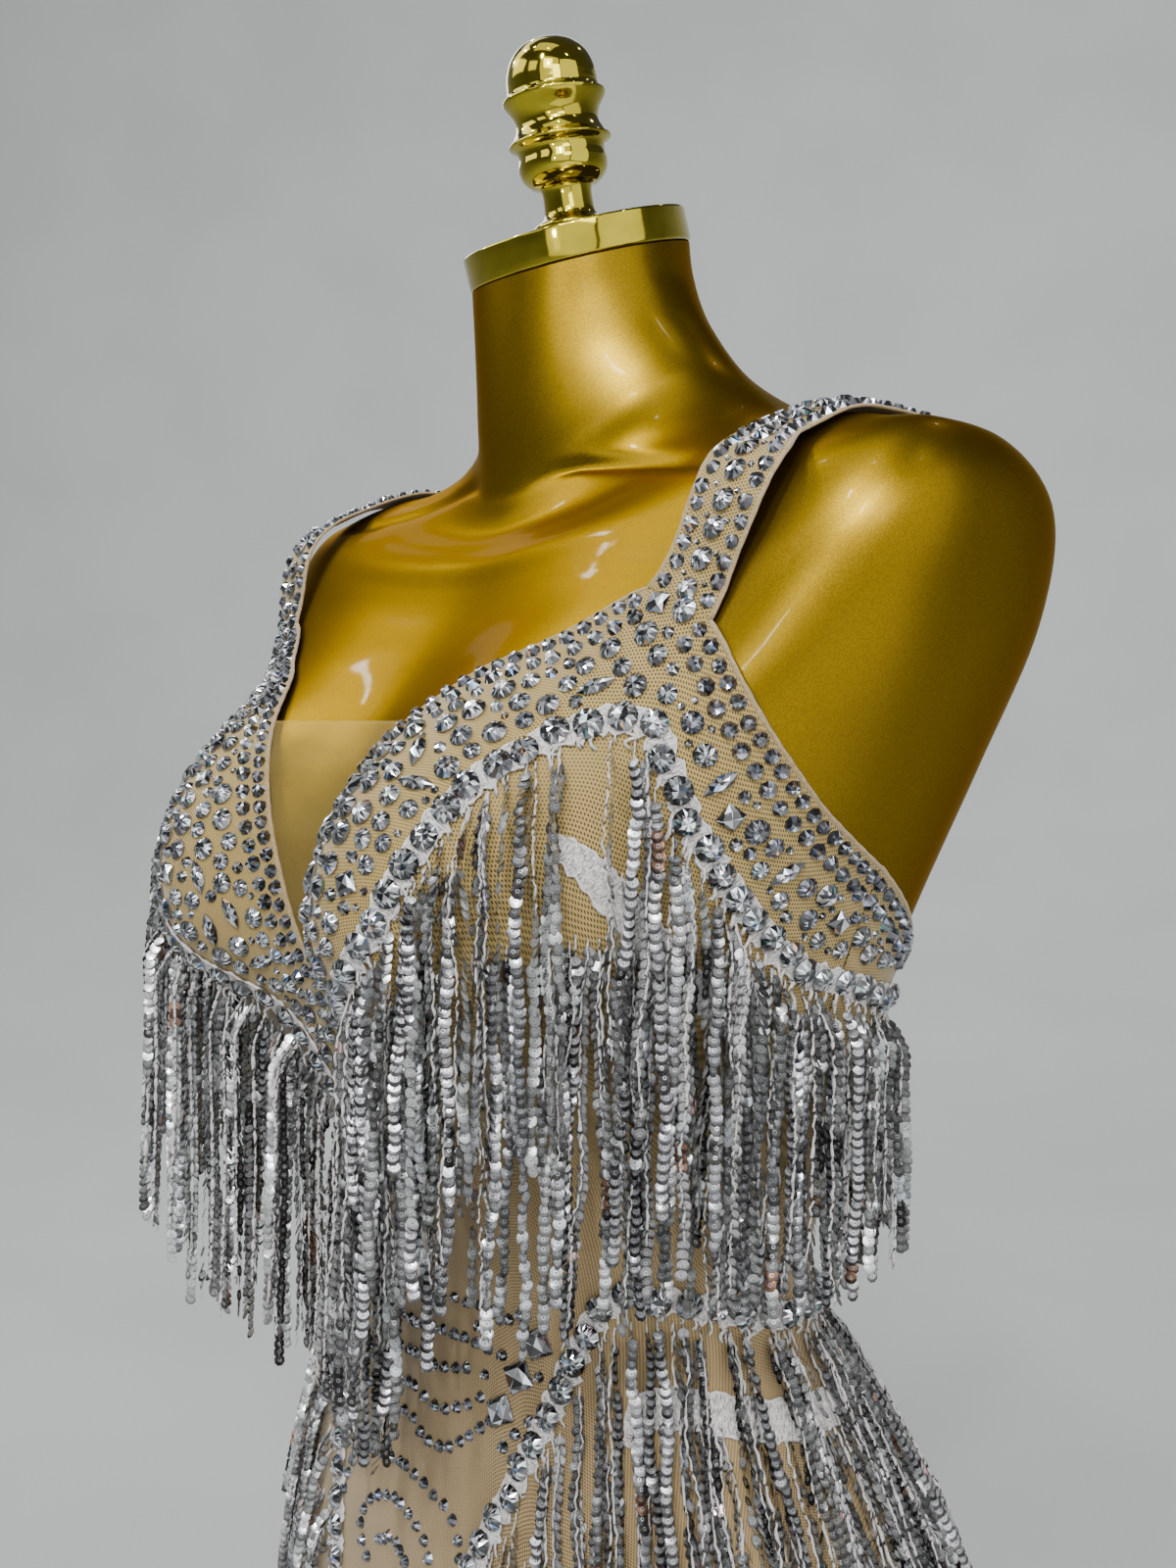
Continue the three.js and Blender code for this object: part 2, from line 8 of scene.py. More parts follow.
import bpy
import numpy as np
from mathutils import Matrix, Vector


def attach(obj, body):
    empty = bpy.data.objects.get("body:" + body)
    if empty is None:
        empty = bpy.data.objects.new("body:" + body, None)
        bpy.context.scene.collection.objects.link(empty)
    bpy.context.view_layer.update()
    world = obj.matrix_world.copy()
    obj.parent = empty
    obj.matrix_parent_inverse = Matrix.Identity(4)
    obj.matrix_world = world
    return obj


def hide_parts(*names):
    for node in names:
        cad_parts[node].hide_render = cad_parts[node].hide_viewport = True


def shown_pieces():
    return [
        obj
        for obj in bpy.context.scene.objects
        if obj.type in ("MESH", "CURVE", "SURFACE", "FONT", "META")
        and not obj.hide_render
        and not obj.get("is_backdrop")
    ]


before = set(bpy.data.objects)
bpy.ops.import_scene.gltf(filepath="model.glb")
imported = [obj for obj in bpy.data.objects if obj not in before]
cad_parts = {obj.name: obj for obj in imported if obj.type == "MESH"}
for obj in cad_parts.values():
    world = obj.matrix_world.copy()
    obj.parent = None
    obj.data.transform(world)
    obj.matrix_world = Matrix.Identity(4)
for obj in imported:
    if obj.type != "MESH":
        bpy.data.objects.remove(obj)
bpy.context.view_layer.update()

Y_SHIFT = 5.92
RNG = np.random.default_rng(20250611)

# ------------------------------------------------------------------ camera
CAM = {"az": 53.53, "el": 1.73, "dist": 655.8, "target": (0.2, 5.92, 532.5), "roll": 0.69, "lens": 37.31}


def make_camera():
    az, el, roll = (math.radians(CAM[k]) for k in ("az", "el", "roll"))
    back = Vector((math.sin(az) * math.cos(el), -math.cos(az) * math.cos(el), math.sin(el)))
    right = Vector((math.cos(az), math.sin(az), 0))
    up = back.cross(right)
    x = right * math.cos(roll) + up * math.sin(roll)
    y = up * math.cos(roll) - right * math.sin(roll)
    data = bpy.data.cameras.new("camera")
    data.lens, data.sensor_width, data.sensor_fit = CAM["lens"], 36, "AUTO"
    data.clip_start, data.clip_end = 0.02, 60
    cam = bpy.data.objects.new("camera", data)
    bpy.context.scene.collection.objects.link(cam)
    m = Matrix.Identity(4)
    place = Vector(CAM["target"]) * 0.001 + back * CAM["dist"] * 0.001
    for i in range(3):
        m[i][0], m[i][1], m[i][2], m[i][3] = x[i], y[i], back[i], place[i]
    cam.matrix_world = m
    bpy.context.scene.camera = cam


make_camera()

# ------------------------------------------------------------------ body of the form
# heights at front, side and back; half width; reach to front and back; set-back; squareness
SECTIONS = np.array([
    (-40, -40, -40, 150, 82, 104, 4, 2.6), (0, 0, 0, 157, 85, 110, 4, 2.5), (50, 50, 50, 166, 90, 119, 4, 2.4),
    (100, 100, 100, 171, 92, 126, 4, 2.3), (150, 150, 150, 172, 92, 130, 4, 2.25), (200, 200, 200, 169, 90, 128, 4, 2.2),
    (250, 251, 252, 156, 84, 112, 4, 2.2), (300, 300, 301, 131, 77, 87, 1, 2.2), (345, 343, 345, 111, 75.5, 61, -1.5, 2.2),
    (394.5, 393, 394.5, 115, 86, 64, -2, 2.2), (444, 443.5, 444.5, 129, 100, 75.5, 0.5, 2.3),
    (495, 494, 495, 147, 109, 86, 3.5, 2.5), (541.5, 543.5, 544.5, 168.5, 103.5, 93, 7, 2.7),
    (575.5, 590.5, 587, 190, 82.5, 94, 9, 2.9), (594.5, 628, 619.5, 197.5, 69, 89, 7.5, 3.0),
    (606.5, 650.5, 640, 186, 62.5, 82, 2.5, 2.8), (616.5, 655.5, 654, 164, 58.5, 77, -2, 2.5),
    (624, 660.5, 665, 140.5, 51.5, 72.5, 2, 2.3), (631, 663.5, 675.5, 114.5, 45, 69.5, 11, 2.2),
    (640, 673, 686, 88, 42, 63.5, 18, 2.0), (649, 689, 697, 63.5, 41.5, 53.5, 15, 2.0),
    (668.5, 708.5, 714.5, 50, 45.5, 44, 7, 2.0), (696, 722, 736, 44, 48, 39, -1, 2.0),
    (724, 734, 758, 42.5, 49.5, 37, -7.5, 2.0), (753, 764, 788, 43.5, 51, 36, -12, 2.0),
    (785, 796, 818, 45, 53, 36, -16, 2.0)], float)
V_TOP = len(SECTIONS) - 2
BUST = dict(x=76, z=486, inner=46, outer=55, down=48, up=74, reach=49, power=1.25)
SPAN = dict(x=0, z=465, inner=45, outer=45, down=85, up=85, reach=14, power=1.0)
CAP = dict(y=-6.4, z=737.5, tilt=17.2, radius=44.9, height=13.1)
FINIAL = dict(tilt=11.0, height=72.2)
CLOTH_IN, CLOTH_OUT = 1.8, 2.6
LACE_IN, LACE_OUT = 2.9, 3.6
LEG_GAP_HALF, CROTCH_Z = 35.0, 60.0


def unit(a):
    return a / np.maximum(np.linalg.norm(a, axis=-1, keepdims=True), 1e-12)


def section(v):
    v = np.asarray(v, float)
    i = np.clip(np.floor(v).astype(int), 1, len(SECTIONS) - 3)
    t = (v - i)[..., None]
    a, b, c, d = SECTIONS[i - 1], SECTIONS[i], SECTIONS[i + 1], SECTIONS[i + 2]
    return 0.5 * (2 * b + (c - a) * t + (2 * a - 5 * b + 4 * c - d) * t * t + (3 * b - a - 3 * c + d) * t ** 3)


def swell(b, x, z, c):
    ux = (np.abs(x) - b["x"]) / np.where(np.abs(x) < b["x"], b["inner"], b["outer"])
    uz = (z - b["z"]) / np.where(z < b["z"], b["down"], b["up"])
    return b["reach"] * np.exp(-(ux * ux + uz * uz) ** b["power"]) * np.sqrt(np.maximum(c, 0))


def form_point(phi, v, span=0.0):
    phi, v = np.broadcast_arrays(np.asarray(phi, float), np.asarray(v, float))
    q = section(v)
    zF, zS, zB, w, F, B, S, n = np.moveaxis(q, -1, 0)
    s, c = np.sin(phi), np.cos(phi)
    d = np.where(c > 0, F + S, B - S)
    a = np.arctan2(w * s, d * c)
    sa, ca = np.sin(a), np.cos(a)
    r = (np.abs(sa / w) ** n + np.abs(ca / d) ** n) ** (-1 / n)
    x = r * sa
    z = zS + np.where(c > 0, zF - zS, zB - zS) * c * c
    y = S - r * ca - swell(BUST, x, z, c)
    if span:
        y = y - span * swell(SPAN, x, z, c)
    return np.stack([x, y, z], -1)


def surface(phi, v, off=0.0, span=1.0):
    """Points off the form along its normal, and the normals."""
    e = 1e-3
    p = form_point(phi, v, span)
    du = form_point(phi + e, v, span) - form_point(phi - e, v, span)
    dv = form_point(phi, v + e, span) - form_point(phi, v - e, span)
    n = unit(np.cross(du, dv))
    return p + n * np.asarray(off, float)[..., None], n


def v_at(phi, z):
    phi, z = np.broadcast_arrays(np.asarray(phi, float), np.asarray(z, float))
    lo, hi = np.full(phi.shape, 0.6), np.full(phi.shape, float(V_TOP))
    c = np.cos(phi)
    for _ in range(26):
        v = (lo + hi) / 2
        i = np.clip(np.floor(v).astype(int), 1, len(SECTIONS) - 3)
        t = (v - i)[..., None]
        a, b, cc, d = (SECTIONS[i + k][..., :3] for k in (-1, 0, 1, 2))
        q = 0.5 * (2 * b + (cc - a) * t + (2 * a - 5 * b + 4 * cc - d) * t * t + (3 * b - a - 3 * cc + d) * t ** 3)
        zz = q[..., 1] + np.where(c > 0, q[..., 0] - q[..., 1], q[..., 2] - q[..., 1]) * c * c
        low = zz < z
        lo, hi = np.where(low, v, lo), np.where(low, hi, v)
    return (lo + hi) / 2


def at(deg, z, off=0.0, span=1.0):
    phi = np.radians(np.asarray(deg, float))
    return surface(phi, v_at(phi, z), off, span)


def smooth(x):
    x = np.clip(x, 0, 1)
    return x * x * (3 - 2 * x)


def spline(table, x):
    """Smooth curve through the rows of a table whose first column is the parameter."""
    t = np.asarray(table, float)
    x = np.asarray(x, float)
    k = t[:, 0]
    vals = t[:, 1:]
    h = np.diff(k)
    slope = np.diff(vals, axis=0) / h[:, None]
    m = np.zeros_like(vals)
    m[1:-1] = (slope[:-1] * h[1:, None] + slope[1:] * h[:-1, None]) / (h[1:] + h[:-1])[:, None]
    flat = slope[:-1] * slope[1:] <= 0
    m[1:-1][flat] *= 0.35
    m[0], m[-1] = slope[0], slope[-1]
    i = np.clip(np.searchsorted(k, x, side="right") - 1, 0, len(k) - 2)
    u = ((x - k[i]) / h[i])[..., None]
    hh = h[i][..., None]
    return (vals[i] * (2 * u ** 3 - 3 * u ** 2 + 1) + m[i] * hh * (u ** 3 - 2 * u ** 2 + u)
            + vals[i + 1] * (-2 * u ** 3 + 3 * u ** 2) + m[i + 1] * hh * (u ** 3 - u ** 2))


# ------------------------------------------------------------------ tables of the garment
FRONT = [  # column, angle and height below, angle and height above
    (0, 0, 104, 0, 467), (1, 3, 104, 4, 489.5), (2, 6, 104, 8.5, 514), (3, 9.2, 104, 13, 539), (4, 13, 112, 16.5, 555),
    (5, 19, 124, 21, 571.5), (6, 26, 140, 27, 582), (7, 33, 156, 34.5, 598), (8, 41, 173, 39.3, 592.8),
    (9, 49, 188, 44, 587), (10, 57, 201, 51, 571.5), (11, 66, 214, 61, 552), (12, 77, 226, 74, 530),
    (13, 89.87, 235, 89.87, 511)]
BACK = [
    (0, 90.13, 235, 90.13, 511), (1, 101, 222, 101, 500.5), (2, 112, 206, 111.5, 490), (3, 123, 188, 122, 480),
    (4, 134, 169, 133, 473), (5, 143, 153, 144, 469), (6, 151, 140, 154, 467), (7, 158, 129, 163, 465),
    (8, 165, 120, 171, 463.5), (9, 170.8, 116, 175.5, 463), (10, 180, 116, 180, 463)]
STRAP_ROWS = [  # station, angle and section of the inner edge, of the outer edge
    (0, 34.5, 13.64, 44, 13.14), (1, 37.3, 14.5, 44.3, 13.85), (2, 43, 15.42, 47.5, 14.48), (3, 51.5, 16.28, 53.5, 15.15),
    (4, 63, 16.98, 62.5, 15.85), (5, 84, 17.42, 83, 16.3), (6, 108, 17.32, 108, 16.18), (7, 132.5, 16.25, 128, 15.4),
    (8, 145.5, 14.8, 138.5, 14.35), (9, 150.5, 13.55, 141.8, 13.3), (10, 152.6, 12.6, 143.4, 12.45),
    (11, 153.6, 11.8, 144, 11.7), (12, 154, 11.1, 144.2, 11.1), (13, 154, 10.42, 144, 10.53)]
LACE_CUP = [  # angle, height, width
    (3.4, 405, 8), (6.5, 430, 10), (13, 449, 13), (24, 466, 14), (31.5, 487, 14), (33.6, 508, 13), (34, 527, 13),
    (35.5, 544, 13), (40, 555, 13), (45, 556, 13), (50, 544, 13), (55.5, 528, 13), (61, 514, 13), (68, 500, 13),
    (76, 485, 13), (85, 475, 13), (98, 468, 13), (110, 464, 12), (121, 461, 10)]
LACE_BAND = [(44, 520, 6), (49, 511, 11), (55, 497, 12), (61, 483, 12), (67, 470, 11), (73, 462, 6)]
LACE_HIP = [
    (11.5, 196, 8), (14.5, 228, 12), (19, 260, 14), (27, 292, 15), (34.5, 316, 15), (42, 338, 15), (48, 354, 15),
    (56, 361.5, 15), (66, 358.5, 14), (79, 353, 14), (93, 349, 14), (108, 347, 14), (124, 346, 14), (140, 345.5, 14),
    (155, 345, 14), (168, 345, 14), (179.7, 345, 14)]
LACE_CURL = [(50, 310, 6), (54, 321, 12), (62, 323, 14), (72, 320, 14), (83, 316.5, 14), (95, 315, 14), (107, 315, 12), (118, 319, 7)]
FRINGE_BUST = [  # angle, height of the top row, height of the free ends
    (0.4, 398, 276), (8, 430, 288), (18, 452, 314), (26, 470, 328), (31.5, 496, 340), (34.3, 530, 352), (37, 546, 358),
    (42, 552, 364), (48, 545, 367), (56, 524, 369), (64, 506, 369), (74, 487, 368), (86, 473, 368), (100, 466, 370),
    (112, 462, 373), (122, 459, 376)]
FRINGE_HIP = [
    (17, 238, 120), (23, 270, 128), (30, 298, 138), (38, 322, 148), (46, 345, 158), (56, 352, 166), (68, 350, 172),
    (80, 345, 176), (92, 342, 178), (106, 340, 178), (120, 339, 176), (134, 338, 174), (148, 338, 172), (164, 338, 170),
    (179.6, 338, 170)]
FINIAL_PROFILE = [
    (0, 0), (15.2, 0), (15.2, 0.02), (11.5, 0.05), (10, 0.09), (10, 0.21), (13.5, 0.235), (16.6, 0.28), (17.6, 0.335),
    (17, 0.39), (17.6, 0.425), (20.3, 0.455), (18.2, 0.49), (16.3, 0.55), (17.2, 0.61), (20.4, 0.685), (18.2, 0.715),
    (17.9, 0.75), (17.4, 0.82), (15.2, 0.9), (11, 0.96), (5.6, 0.992), (0, 1)]


# ------------------------------------------------------------------ mesh making
def build(name, verts, faces, material, slot, uv=None, tone=None, face_tone=None, shade=True, sharp=None):
    """One piece from points in millimetres and arrays of faces, riding on the root body."""
    me = bpy.data.meshes.new(name)
    V = ((np.asarray(verts, float) + [0, Y_SHIFT, 0]) * 0.001).astype(np.float32)
    me.vertices.add(len(V))
    me.vertices.foreach_set("co", V.ravel())
    faces = [np.asarray(f, np.int32) for f in faces if len(f)]
    loops = np.concatenate([f.ravel() for f in faces])
    sizes = np.concatenate([np.full(len(f), f.shape[1]) for f in faces])
    starts = np.concatenate([[0], np.cumsum(sizes)[:-1]]).astype(np.int32)
    me.loops.add(len(loops))
    me.loops.foreach_set("vertex_index", loops)
    me.polygons.add(len(sizes))
    me.polygons.foreach_set("loop_start", starts)
    me.polygons.foreach_set("use_smooth", np.full(len(sizes), bool(shade)))
    me.update(calc_edges=True)
    if uv is not None:
        layer = me.uv_layers.new(name="flat")
        layer.uv.foreach_set("vector", np.asarray(uv, np.float32)[loops].ravel())
    if tone is not None:
        a = me.color_attributes.new(name="tone", type="FLOAT_COLOR", domain="POINT")
        a.data.foreach_set("color", np.asarray(tone, np.float32).ravel())
    if face_tone is not None:
        a = me.color_attributes.new(name="tone", type="FLOAT_COLOR", domain="CORNER")
        a.data.foreach_set("color", np.repeat(np.asarray(face_tone, np.float32), sizes, axis=0).ravel())
    me.validate()
    if sharp is not None:
        me.set_sharp_from_angle(angle=math.radians(sharp))
    me.materials.append(material)
    ob = bpy.data.objects.new(name, me)
    bpy.context.scene.collection.objects.link(ob)
    if slot:
        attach(ob, "root")
    return ob


class Heap:
    """Collects many small meshes into one piece."""

    def __init__(self):
        self.verts, self.faces, self.uv, self.tone, self.face_tone, self.count = [], {}, [], [], {}, 0

    def add(self, verts, faces, uv=None, tone=None, face_tone=None):
        verts = np.asarray(verts, float).reshape(-1, 3)
        k = 0
        for f in faces:
            f = np.asarray(f)
            self.faces.setdefault(f.shape[1], []).append(f + self.count)
            if face_tone is not None:
                self.face_tone.setdefault(f.shape[1], []).append(face_tone[k:k + len(f)])
                k += len(f)
        self.verts.append(verts)
        if uv is not None:
            self.uv.append(np.asarray(uv).reshape(-1, 2))
        if tone is not None:
            self.tone.append(np.asarray(tone).reshape(-1, 4))
        self.count += len(verts)

    def build(self, name, material, slot, **how):
        sizes = sorted(self.faces)
        faces = [np.concatenate(self.faces[k]) for k in sizes]
        if self.uv:
            how["uv"] = np.concatenate(self.uv)
        if self.tone:
            how["tone"] = np.concatenate(self.tone)
        if self.face_tone:
            how["face_tone"] = np.concatenate([np.concatenate(self.face_tone[k]) for k in sizes])
        return build(name, np.concatenate(self.verts), faces, material, slot, **how)


def wall(inner, outer, uv=None):
    """Closed thin shell between two grids of points (rows, columns, 3)."""
    R, C = inner.shape[:2]
    I = np.arange(R * C).reshape(R, C)
    O = I + R * C

    def quads(a, b, c, d):
        return np.stack([a.ravel(), b.ravel(), c.ravel(), d.ravel()], -1)

    f = [quads(I[:-1, :-1], I[1:, :-1], I[1:, 1:], I[:-1, 1:]), quads(O[:-1, :-1], O[:-1, 1:], O[1:, 1:], O[1:, :-1]),
         quads(I[0, :-1], I[0, 1:], O[0, 1:], O[0, :-1]), quads(I[-1, :-1], O[-1, :-1], O[-1, 1:], I[-1, 1:]),
         quads(I[:-1, 0], O[:-1, 0], O[1:, 0], I[1:, 0]), quads(I[:-1, -1], I[1:, -1], O[1:, -1], O[:-1, -1])]
    verts = np.concatenate([inner.reshape(-1, 3), outer.reshape(-1, 3)])
    if uv is not None:
        uv = np.concatenate([uv.reshape(-1, 2)] * 2)
    return verts, [np.concatenate(f)], uv


def sweep(P, A, B, sec, closed=False):
    """Closed section (k, 2) or (n, k, 2) carried along P on the axes A and B."""
    n = len(P)
    sec = np.asarray(sec, float)
    if sec.ndim == 2:
        sec = np.broadcast_to(sec, (n,) + sec.shape)
    k = sec.shape[1]
    V = P[:, None] + sec[..., 0:1] * A[:, None] + sec[..., 1:2] * B[:, None]
    idx = np.arange(n * k).reshape(n, k)
    nxt = np.roll(idx, -1, axis=1)
    a, b = (idx, np.roll(idx, -1, axis=0)) if closed else (idx[:-1], idx[1:])
    an, bn = (nxt, np.roll(nxt, -1, axis=0)) if closed else (nxt[:-1], nxt[1:])
    faces = [np.stack([a.ravel(), an.ravel(), bn.ravel(), b.ravel()], -1)]
    if not closed:
        faces += [idx[0][::-1][None], idx[-1][None]]
    return V.reshape(-1, 3), faces


def instances(verts, faces, P, X, Y, Z, size):
    """Copies of a template: axes X, Y, Z (n, 3), size (n,) or (n, 3)."""
    size = np.asarray(size, float)
    if size.ndim == 1:
        size = np.repeat(size[:, None], 3, 1)
    V = (P[:, None] + verts[None, :, 0:1] * (X * size[:, 0:1])[:, None] + verts[None, :, 1:2] * (Y * size[:, 1:2])[:, None]
         + verts[None, :, 2:3] * (Z * size[:, 2:3])[:, None])
    shift = (np.arange(len(P)) * len(verts))[:, None, None]
    return V.reshape(-1, 3), [(np.asarray(f)[None] + shift).reshape(-1, np.asarray(f).shape[1]) for f in faces]


def arc_resample(points, step, extra=None):
    """Points at even distance along a polyline, with any extra columns carried along."""
    d = np.concatenate([[0], np.cumsum(np.linalg.norm(np.diff(points, axis=0), axis=1))])
    n = max(int(round(d[-1] / step)), 2)
    s = np.linspace(0, d[-1], n + 1)
    out = np.stack([np.interp(s, d, points[:, k]) for k in range(points.shape[1])], -1)
    if extra is None:
        return s, out
    return s, out, np.stack([np.interp(s, d, extra[:, k]) for k in range(extra.shape[1])], -1)


# ------------------------------------------------------------------ materials
def material(name):
    m = bpy.data.materials.new(name)
    m.use_nodes = True
    nt = m.node_tree
    nt.nodes.clear()
    out = nt.nodes.new("ShaderNodeOutputMaterial")
    p = nt.nodes.new("ShaderNodeBsdfPrincipled")
    nt.links.new(p.outputs[0], out.inputs[0])
    return m, nt, p, out


def node(nt, kind, **values):
    n = nt.nodes.new(kind)
    for k, v in values.items():
        if k.startswith("in_"):
            n.inputs[int(k[3:]) if k[3:].isdigit() else k[3:].replace("_", " ")].default_value = v
        else:
            setattr(n, k, v)
    return n


def maths(nt, op, a, b=None, clamp=False):
    n = nt.nodes.new("ShaderNodeMath")
    n.operation, n.use_clamp = op, clamp
    for i, x in enumerate((a, b)):
        if x is None:
            continue
        if isinstance(x, (int, float)):
            n.inputs[i].default_value = x
        else:
            nt.links.new(x, n.inputs[i])
    return n.outputs[0]


def mix_colour(nt, factor, a, b, blend="MIX"):
    n = nt.nodes.new("ShaderNodeMix")
    n.data_type, n.blend_type = "RGBA", blend
    for sock, x in ((n.inputs[0], factor), (n.inputs[6], a), (n.inputs[7], b)):
        if isinstance(x, (int, float)):
            sock.default_value = x
        elif isinstance(x, tuple):
            sock.default_value = x if len(x) == 4 else (*x, 1)
        else:
            nt.links.new(x, sock)
    return n.outputs[2]


def ramp(nt, value, low, high, to_low=0.0, to_high=1.0):
    n = nt.nodes.new("ShaderNodeMapRange")
    n.interpolation_type = "SMOOTHSTEP"
    nt.links.new(value, n.inputs[0])
    for i, x in enumerate((low, high, to_low, to_high)):
        n.inputs[i + 1].default_value = x
    return n.outputs[0]


def noise(nt, vector, scale, detail=2.0, rough=0.5):
    n = nt.nodes.new("ShaderNodeTexNoise")
    n.inputs["Scale"].default_value = scale
    n.inputs["Detail"].default_value = detail
    n.inputs["Roughness"].default_value = rough
    nt.links.new(vector, n.inputs["Vector"])
    return n.outputs[0]


def bump(nt, p, height, strength, distance, socket="Normal"):
    n = nt.nodes.new("ShaderNodeBump")
    n.inputs["Strength"].default_value = strength
    n.inputs["Distance"].default_value = distance
    nt.links.new(height, n.inputs["Height"])
    nt.links.new(n.outputs[0], p.inputs[socket])
    return n


def set_all(p, **values):
    for k, v in values.items():
        p.inputs[k.replace("_", " ")].default_value = v


def coords(nt, kind="Object"):
    return nt.nodes.new("ShaderNodeTexCoord").outputs[kind]


def gold_paint():
    m, nt, p, _ = material("satin_gold_paint")
    co = coords(nt)
    flake = noise(nt, co, 2600, 1.0)
    cloud = noise(nt, co, 9, 3.0)
    base = mix_colour(nt, ramp(nt, flake, 0.38, 0.62), (0.172, 0.106, 0.0040), (0.252, 0.162, 0.0080))
    base = mix_colour(nt, ramp(nt, cloud, 0.3, 0.75, 0.0, 0.35), base, (0.152, 0.090, 0.0034))
    nt.links.new(base, p.inputs["Base Color"])
    rough = ramp(nt, cloud, 0.3, 0.7, 0.34, 0.39)
    nt.links.new(rough, p.inputs["Roughness"])
    set_all(p, Metallic=1.0, Coat_Weight=0.035, Coat_Roughness=0.05, Coat_IOR=1.5, Specular_Tint=(0.62, 0.42, 0.12, 1))
    bump(nt, p, flake, 0.10, 0.00004)
    peel = noise(nt, co, 150, 2.0)
    bump(nt, p, peel, 0.12, 0.0003, "Coat Normal")
    return m


def brass():
    m, nt, p, _ = material("polished_brass")
    co = coords(nt)
    wear = noise(nt, co, 60, 4.0)
    nt.links.new(mix_colour(nt, ramp(nt, wear, 0.35, 0.7), (0.44, 0.36, 0.035), (0.33, 0.27, 0.025)), p.inputs["Base Color"])
    nt.links.new(ramp(nt, wear, 0.3, 0.75, 0.045, 0.13), p.inputs["Roughness"])
    set_all(p, Metallic=1.0)
    bump(nt, p, noise(nt, co, 420, 3.0), 0.05, 0.00006)
    return m


def net_factor(nt, uv, pitch):
    """Hexagonal net: the sum of three crossed waves; the callers map its high values to the holes and its low values to
    the thread. The UV map is in metres.
    """
    k = 2 * math.pi / (pitch * 0.001)
    total = None
    for a in (0, 60, 120):
        dot = nt.nodes.new("ShaderNodeVectorMath")
        dot.operation = "DOT_PRODUCT"
        nt.links.new(uv, dot.inputs[0])
        dot.inputs[1].default_value = (k * math.cos(math.radians(a)), k * math.sin(math.radians(a)), 0)
        wave = maths(nt, "COSINE", dot.outputs["Value"])
        total = wave if total is None else maths(nt, "ADD", total, wave)
    return total


def power_mesh():
    m, nt, p, _ = material("power_mesh_nude")
    uv = nt.nodes.new("ShaderNodeUVMap")
    uv.uv_map = "flat"
    wave = net_factor(nt, uv.outputs[0], 1.15)
    thread = ramp(nt, wave, 1.15, 0.15)
    co = coords(nt)
    cloud = noise(nt, co, 22, 3.0)
    tan = mix_colour(nt, ramp(nt, cloud, 0.35, 0.7), (0.29, 0.205, 0.095), (0.35, 0.25, 0.12))
    # painted light: the net is coloured warmer and more golden over the bust, standing in for the lit gold form that
    # shows through it there
    sep = nt.nodes.new("ShaderNodeSeparateXYZ")
    nt.links.new(co, sep.inputs[0])
    high = ramp(nt, sep.outputs["Z"], 0.36, 0.50)
    tan = mix_colour(nt, high, tan, (0.345, 0.245, 0.076))
    fibre = noise(nt, co, 1900, 2.0)
    tan = mix_colour(nt, ramp(nt, fibre, 0.35, 0.7, 0.0, 0.35), tan, (0.21, 0.145, 0.055))
    hole = mix_colour(nt, ramp(nt, cloud, 0.3, 0.7), (0.050, 0.029, 0.006), (0.080, 0.047, 0.010))
    nt.links.new(mix_colour(nt, thread, hole, tan), p.inputs["Base Color"])
    nt.links.new(ramp(nt, thread, 0.0, 1.0, 0.42, 0.85), p.inputs["Roughness"])
    nt.links.new(ramp(nt, thread, 0.0, 1.0, 0.55, 0.0), p.inputs["Metallic"])
    set_all(p, Sheen_Weight=0.25, Sheen_Roughness=0.5)
    bump(nt, p, thread, 0.3, 0.0002)
    return m


def sheer_mesh():
    m, nt, p, out = material("sheer_tulle")
    uv = nt.nodes.new("ShaderNodeUVMap")
    uv.uv_map = "flat"
    wave = net_factor(nt, uv.outputs[0], 0.95)
    thread = ramp(nt, wave, 1.4, 0.3)
    co = coords(nt)
    cloud = noise(nt, co, 30, 2.0)
    nt.links.new(mix_colour(nt, ramp(nt, cloud, 0.3, 0.7), (0.62, 0.44, 0.12), (0.68, 0.49, 0.14)), p.inputs["Base Color"])
    set_all(p, Roughness=0.7)
    clear = nt.nodes.new("ShaderNodeBsdfTransparent")
    mix = nt.nodes.new("ShaderNodeMixShader")
    nt.links.new(ramp(nt, thread, 0.0, 1.0, 0.02, 0.12), mix.inputs[0])
    nt.links.new(clear.outputs[0], mix.inputs[1])
    nt.links.new(p.outputs[0], mix.inputs[2])
    nt.links.new(mix.outputs[0], out.inputs[0])
    bump(nt, p, thread, 0.3, 0.0002)
    return m


def binding_cloth():
    m, nt, p, _ = material("nude_edge")
    co = coords(nt)
    fibre = noise(nt, co, 900, 3.0)
    nt.links.new(mix_colour(nt, ramp(nt, fibre, 0.3, 0.7), (0.20, 0.14, 0.062), (0.31, 0.225, 0.11)), p.inputs["Base Color"])
    set_all(p, Roughness=0.72, Sheen_Weight=0.3, Sheen_Roughness=0.5)
    bump(nt, p, fibre, 0.4, 0.00025)
    return m


def lace_thread():
    m, nt, p, _ = material("white_corded_lace")
    co = coords(nt)
    fibre = noise(nt, co, 1500, 3.0, 0.6)
    cloud = noise(nt, co, 180, 2.0)
    base = mix_colour(nt, ramp(nt, fibre, 0.3, 0.7), (0.36, 0.345, 0.33), (0.68, 0.665, 0.65))
    base = mix_colour(nt, ramp(nt, cloud, 0.35, 0.7, 0.0, 0.4), base, (0.62, 0.60, 0.58))
    nt.links.new(base, p.inputs["Base Color"])
    set_all(p, Roughness=0.62, Sheen_Weight=0.5, Sheen_Roughness=0.35)
    bump(nt, p, fibre, 0.75, 0.0005)
    return m


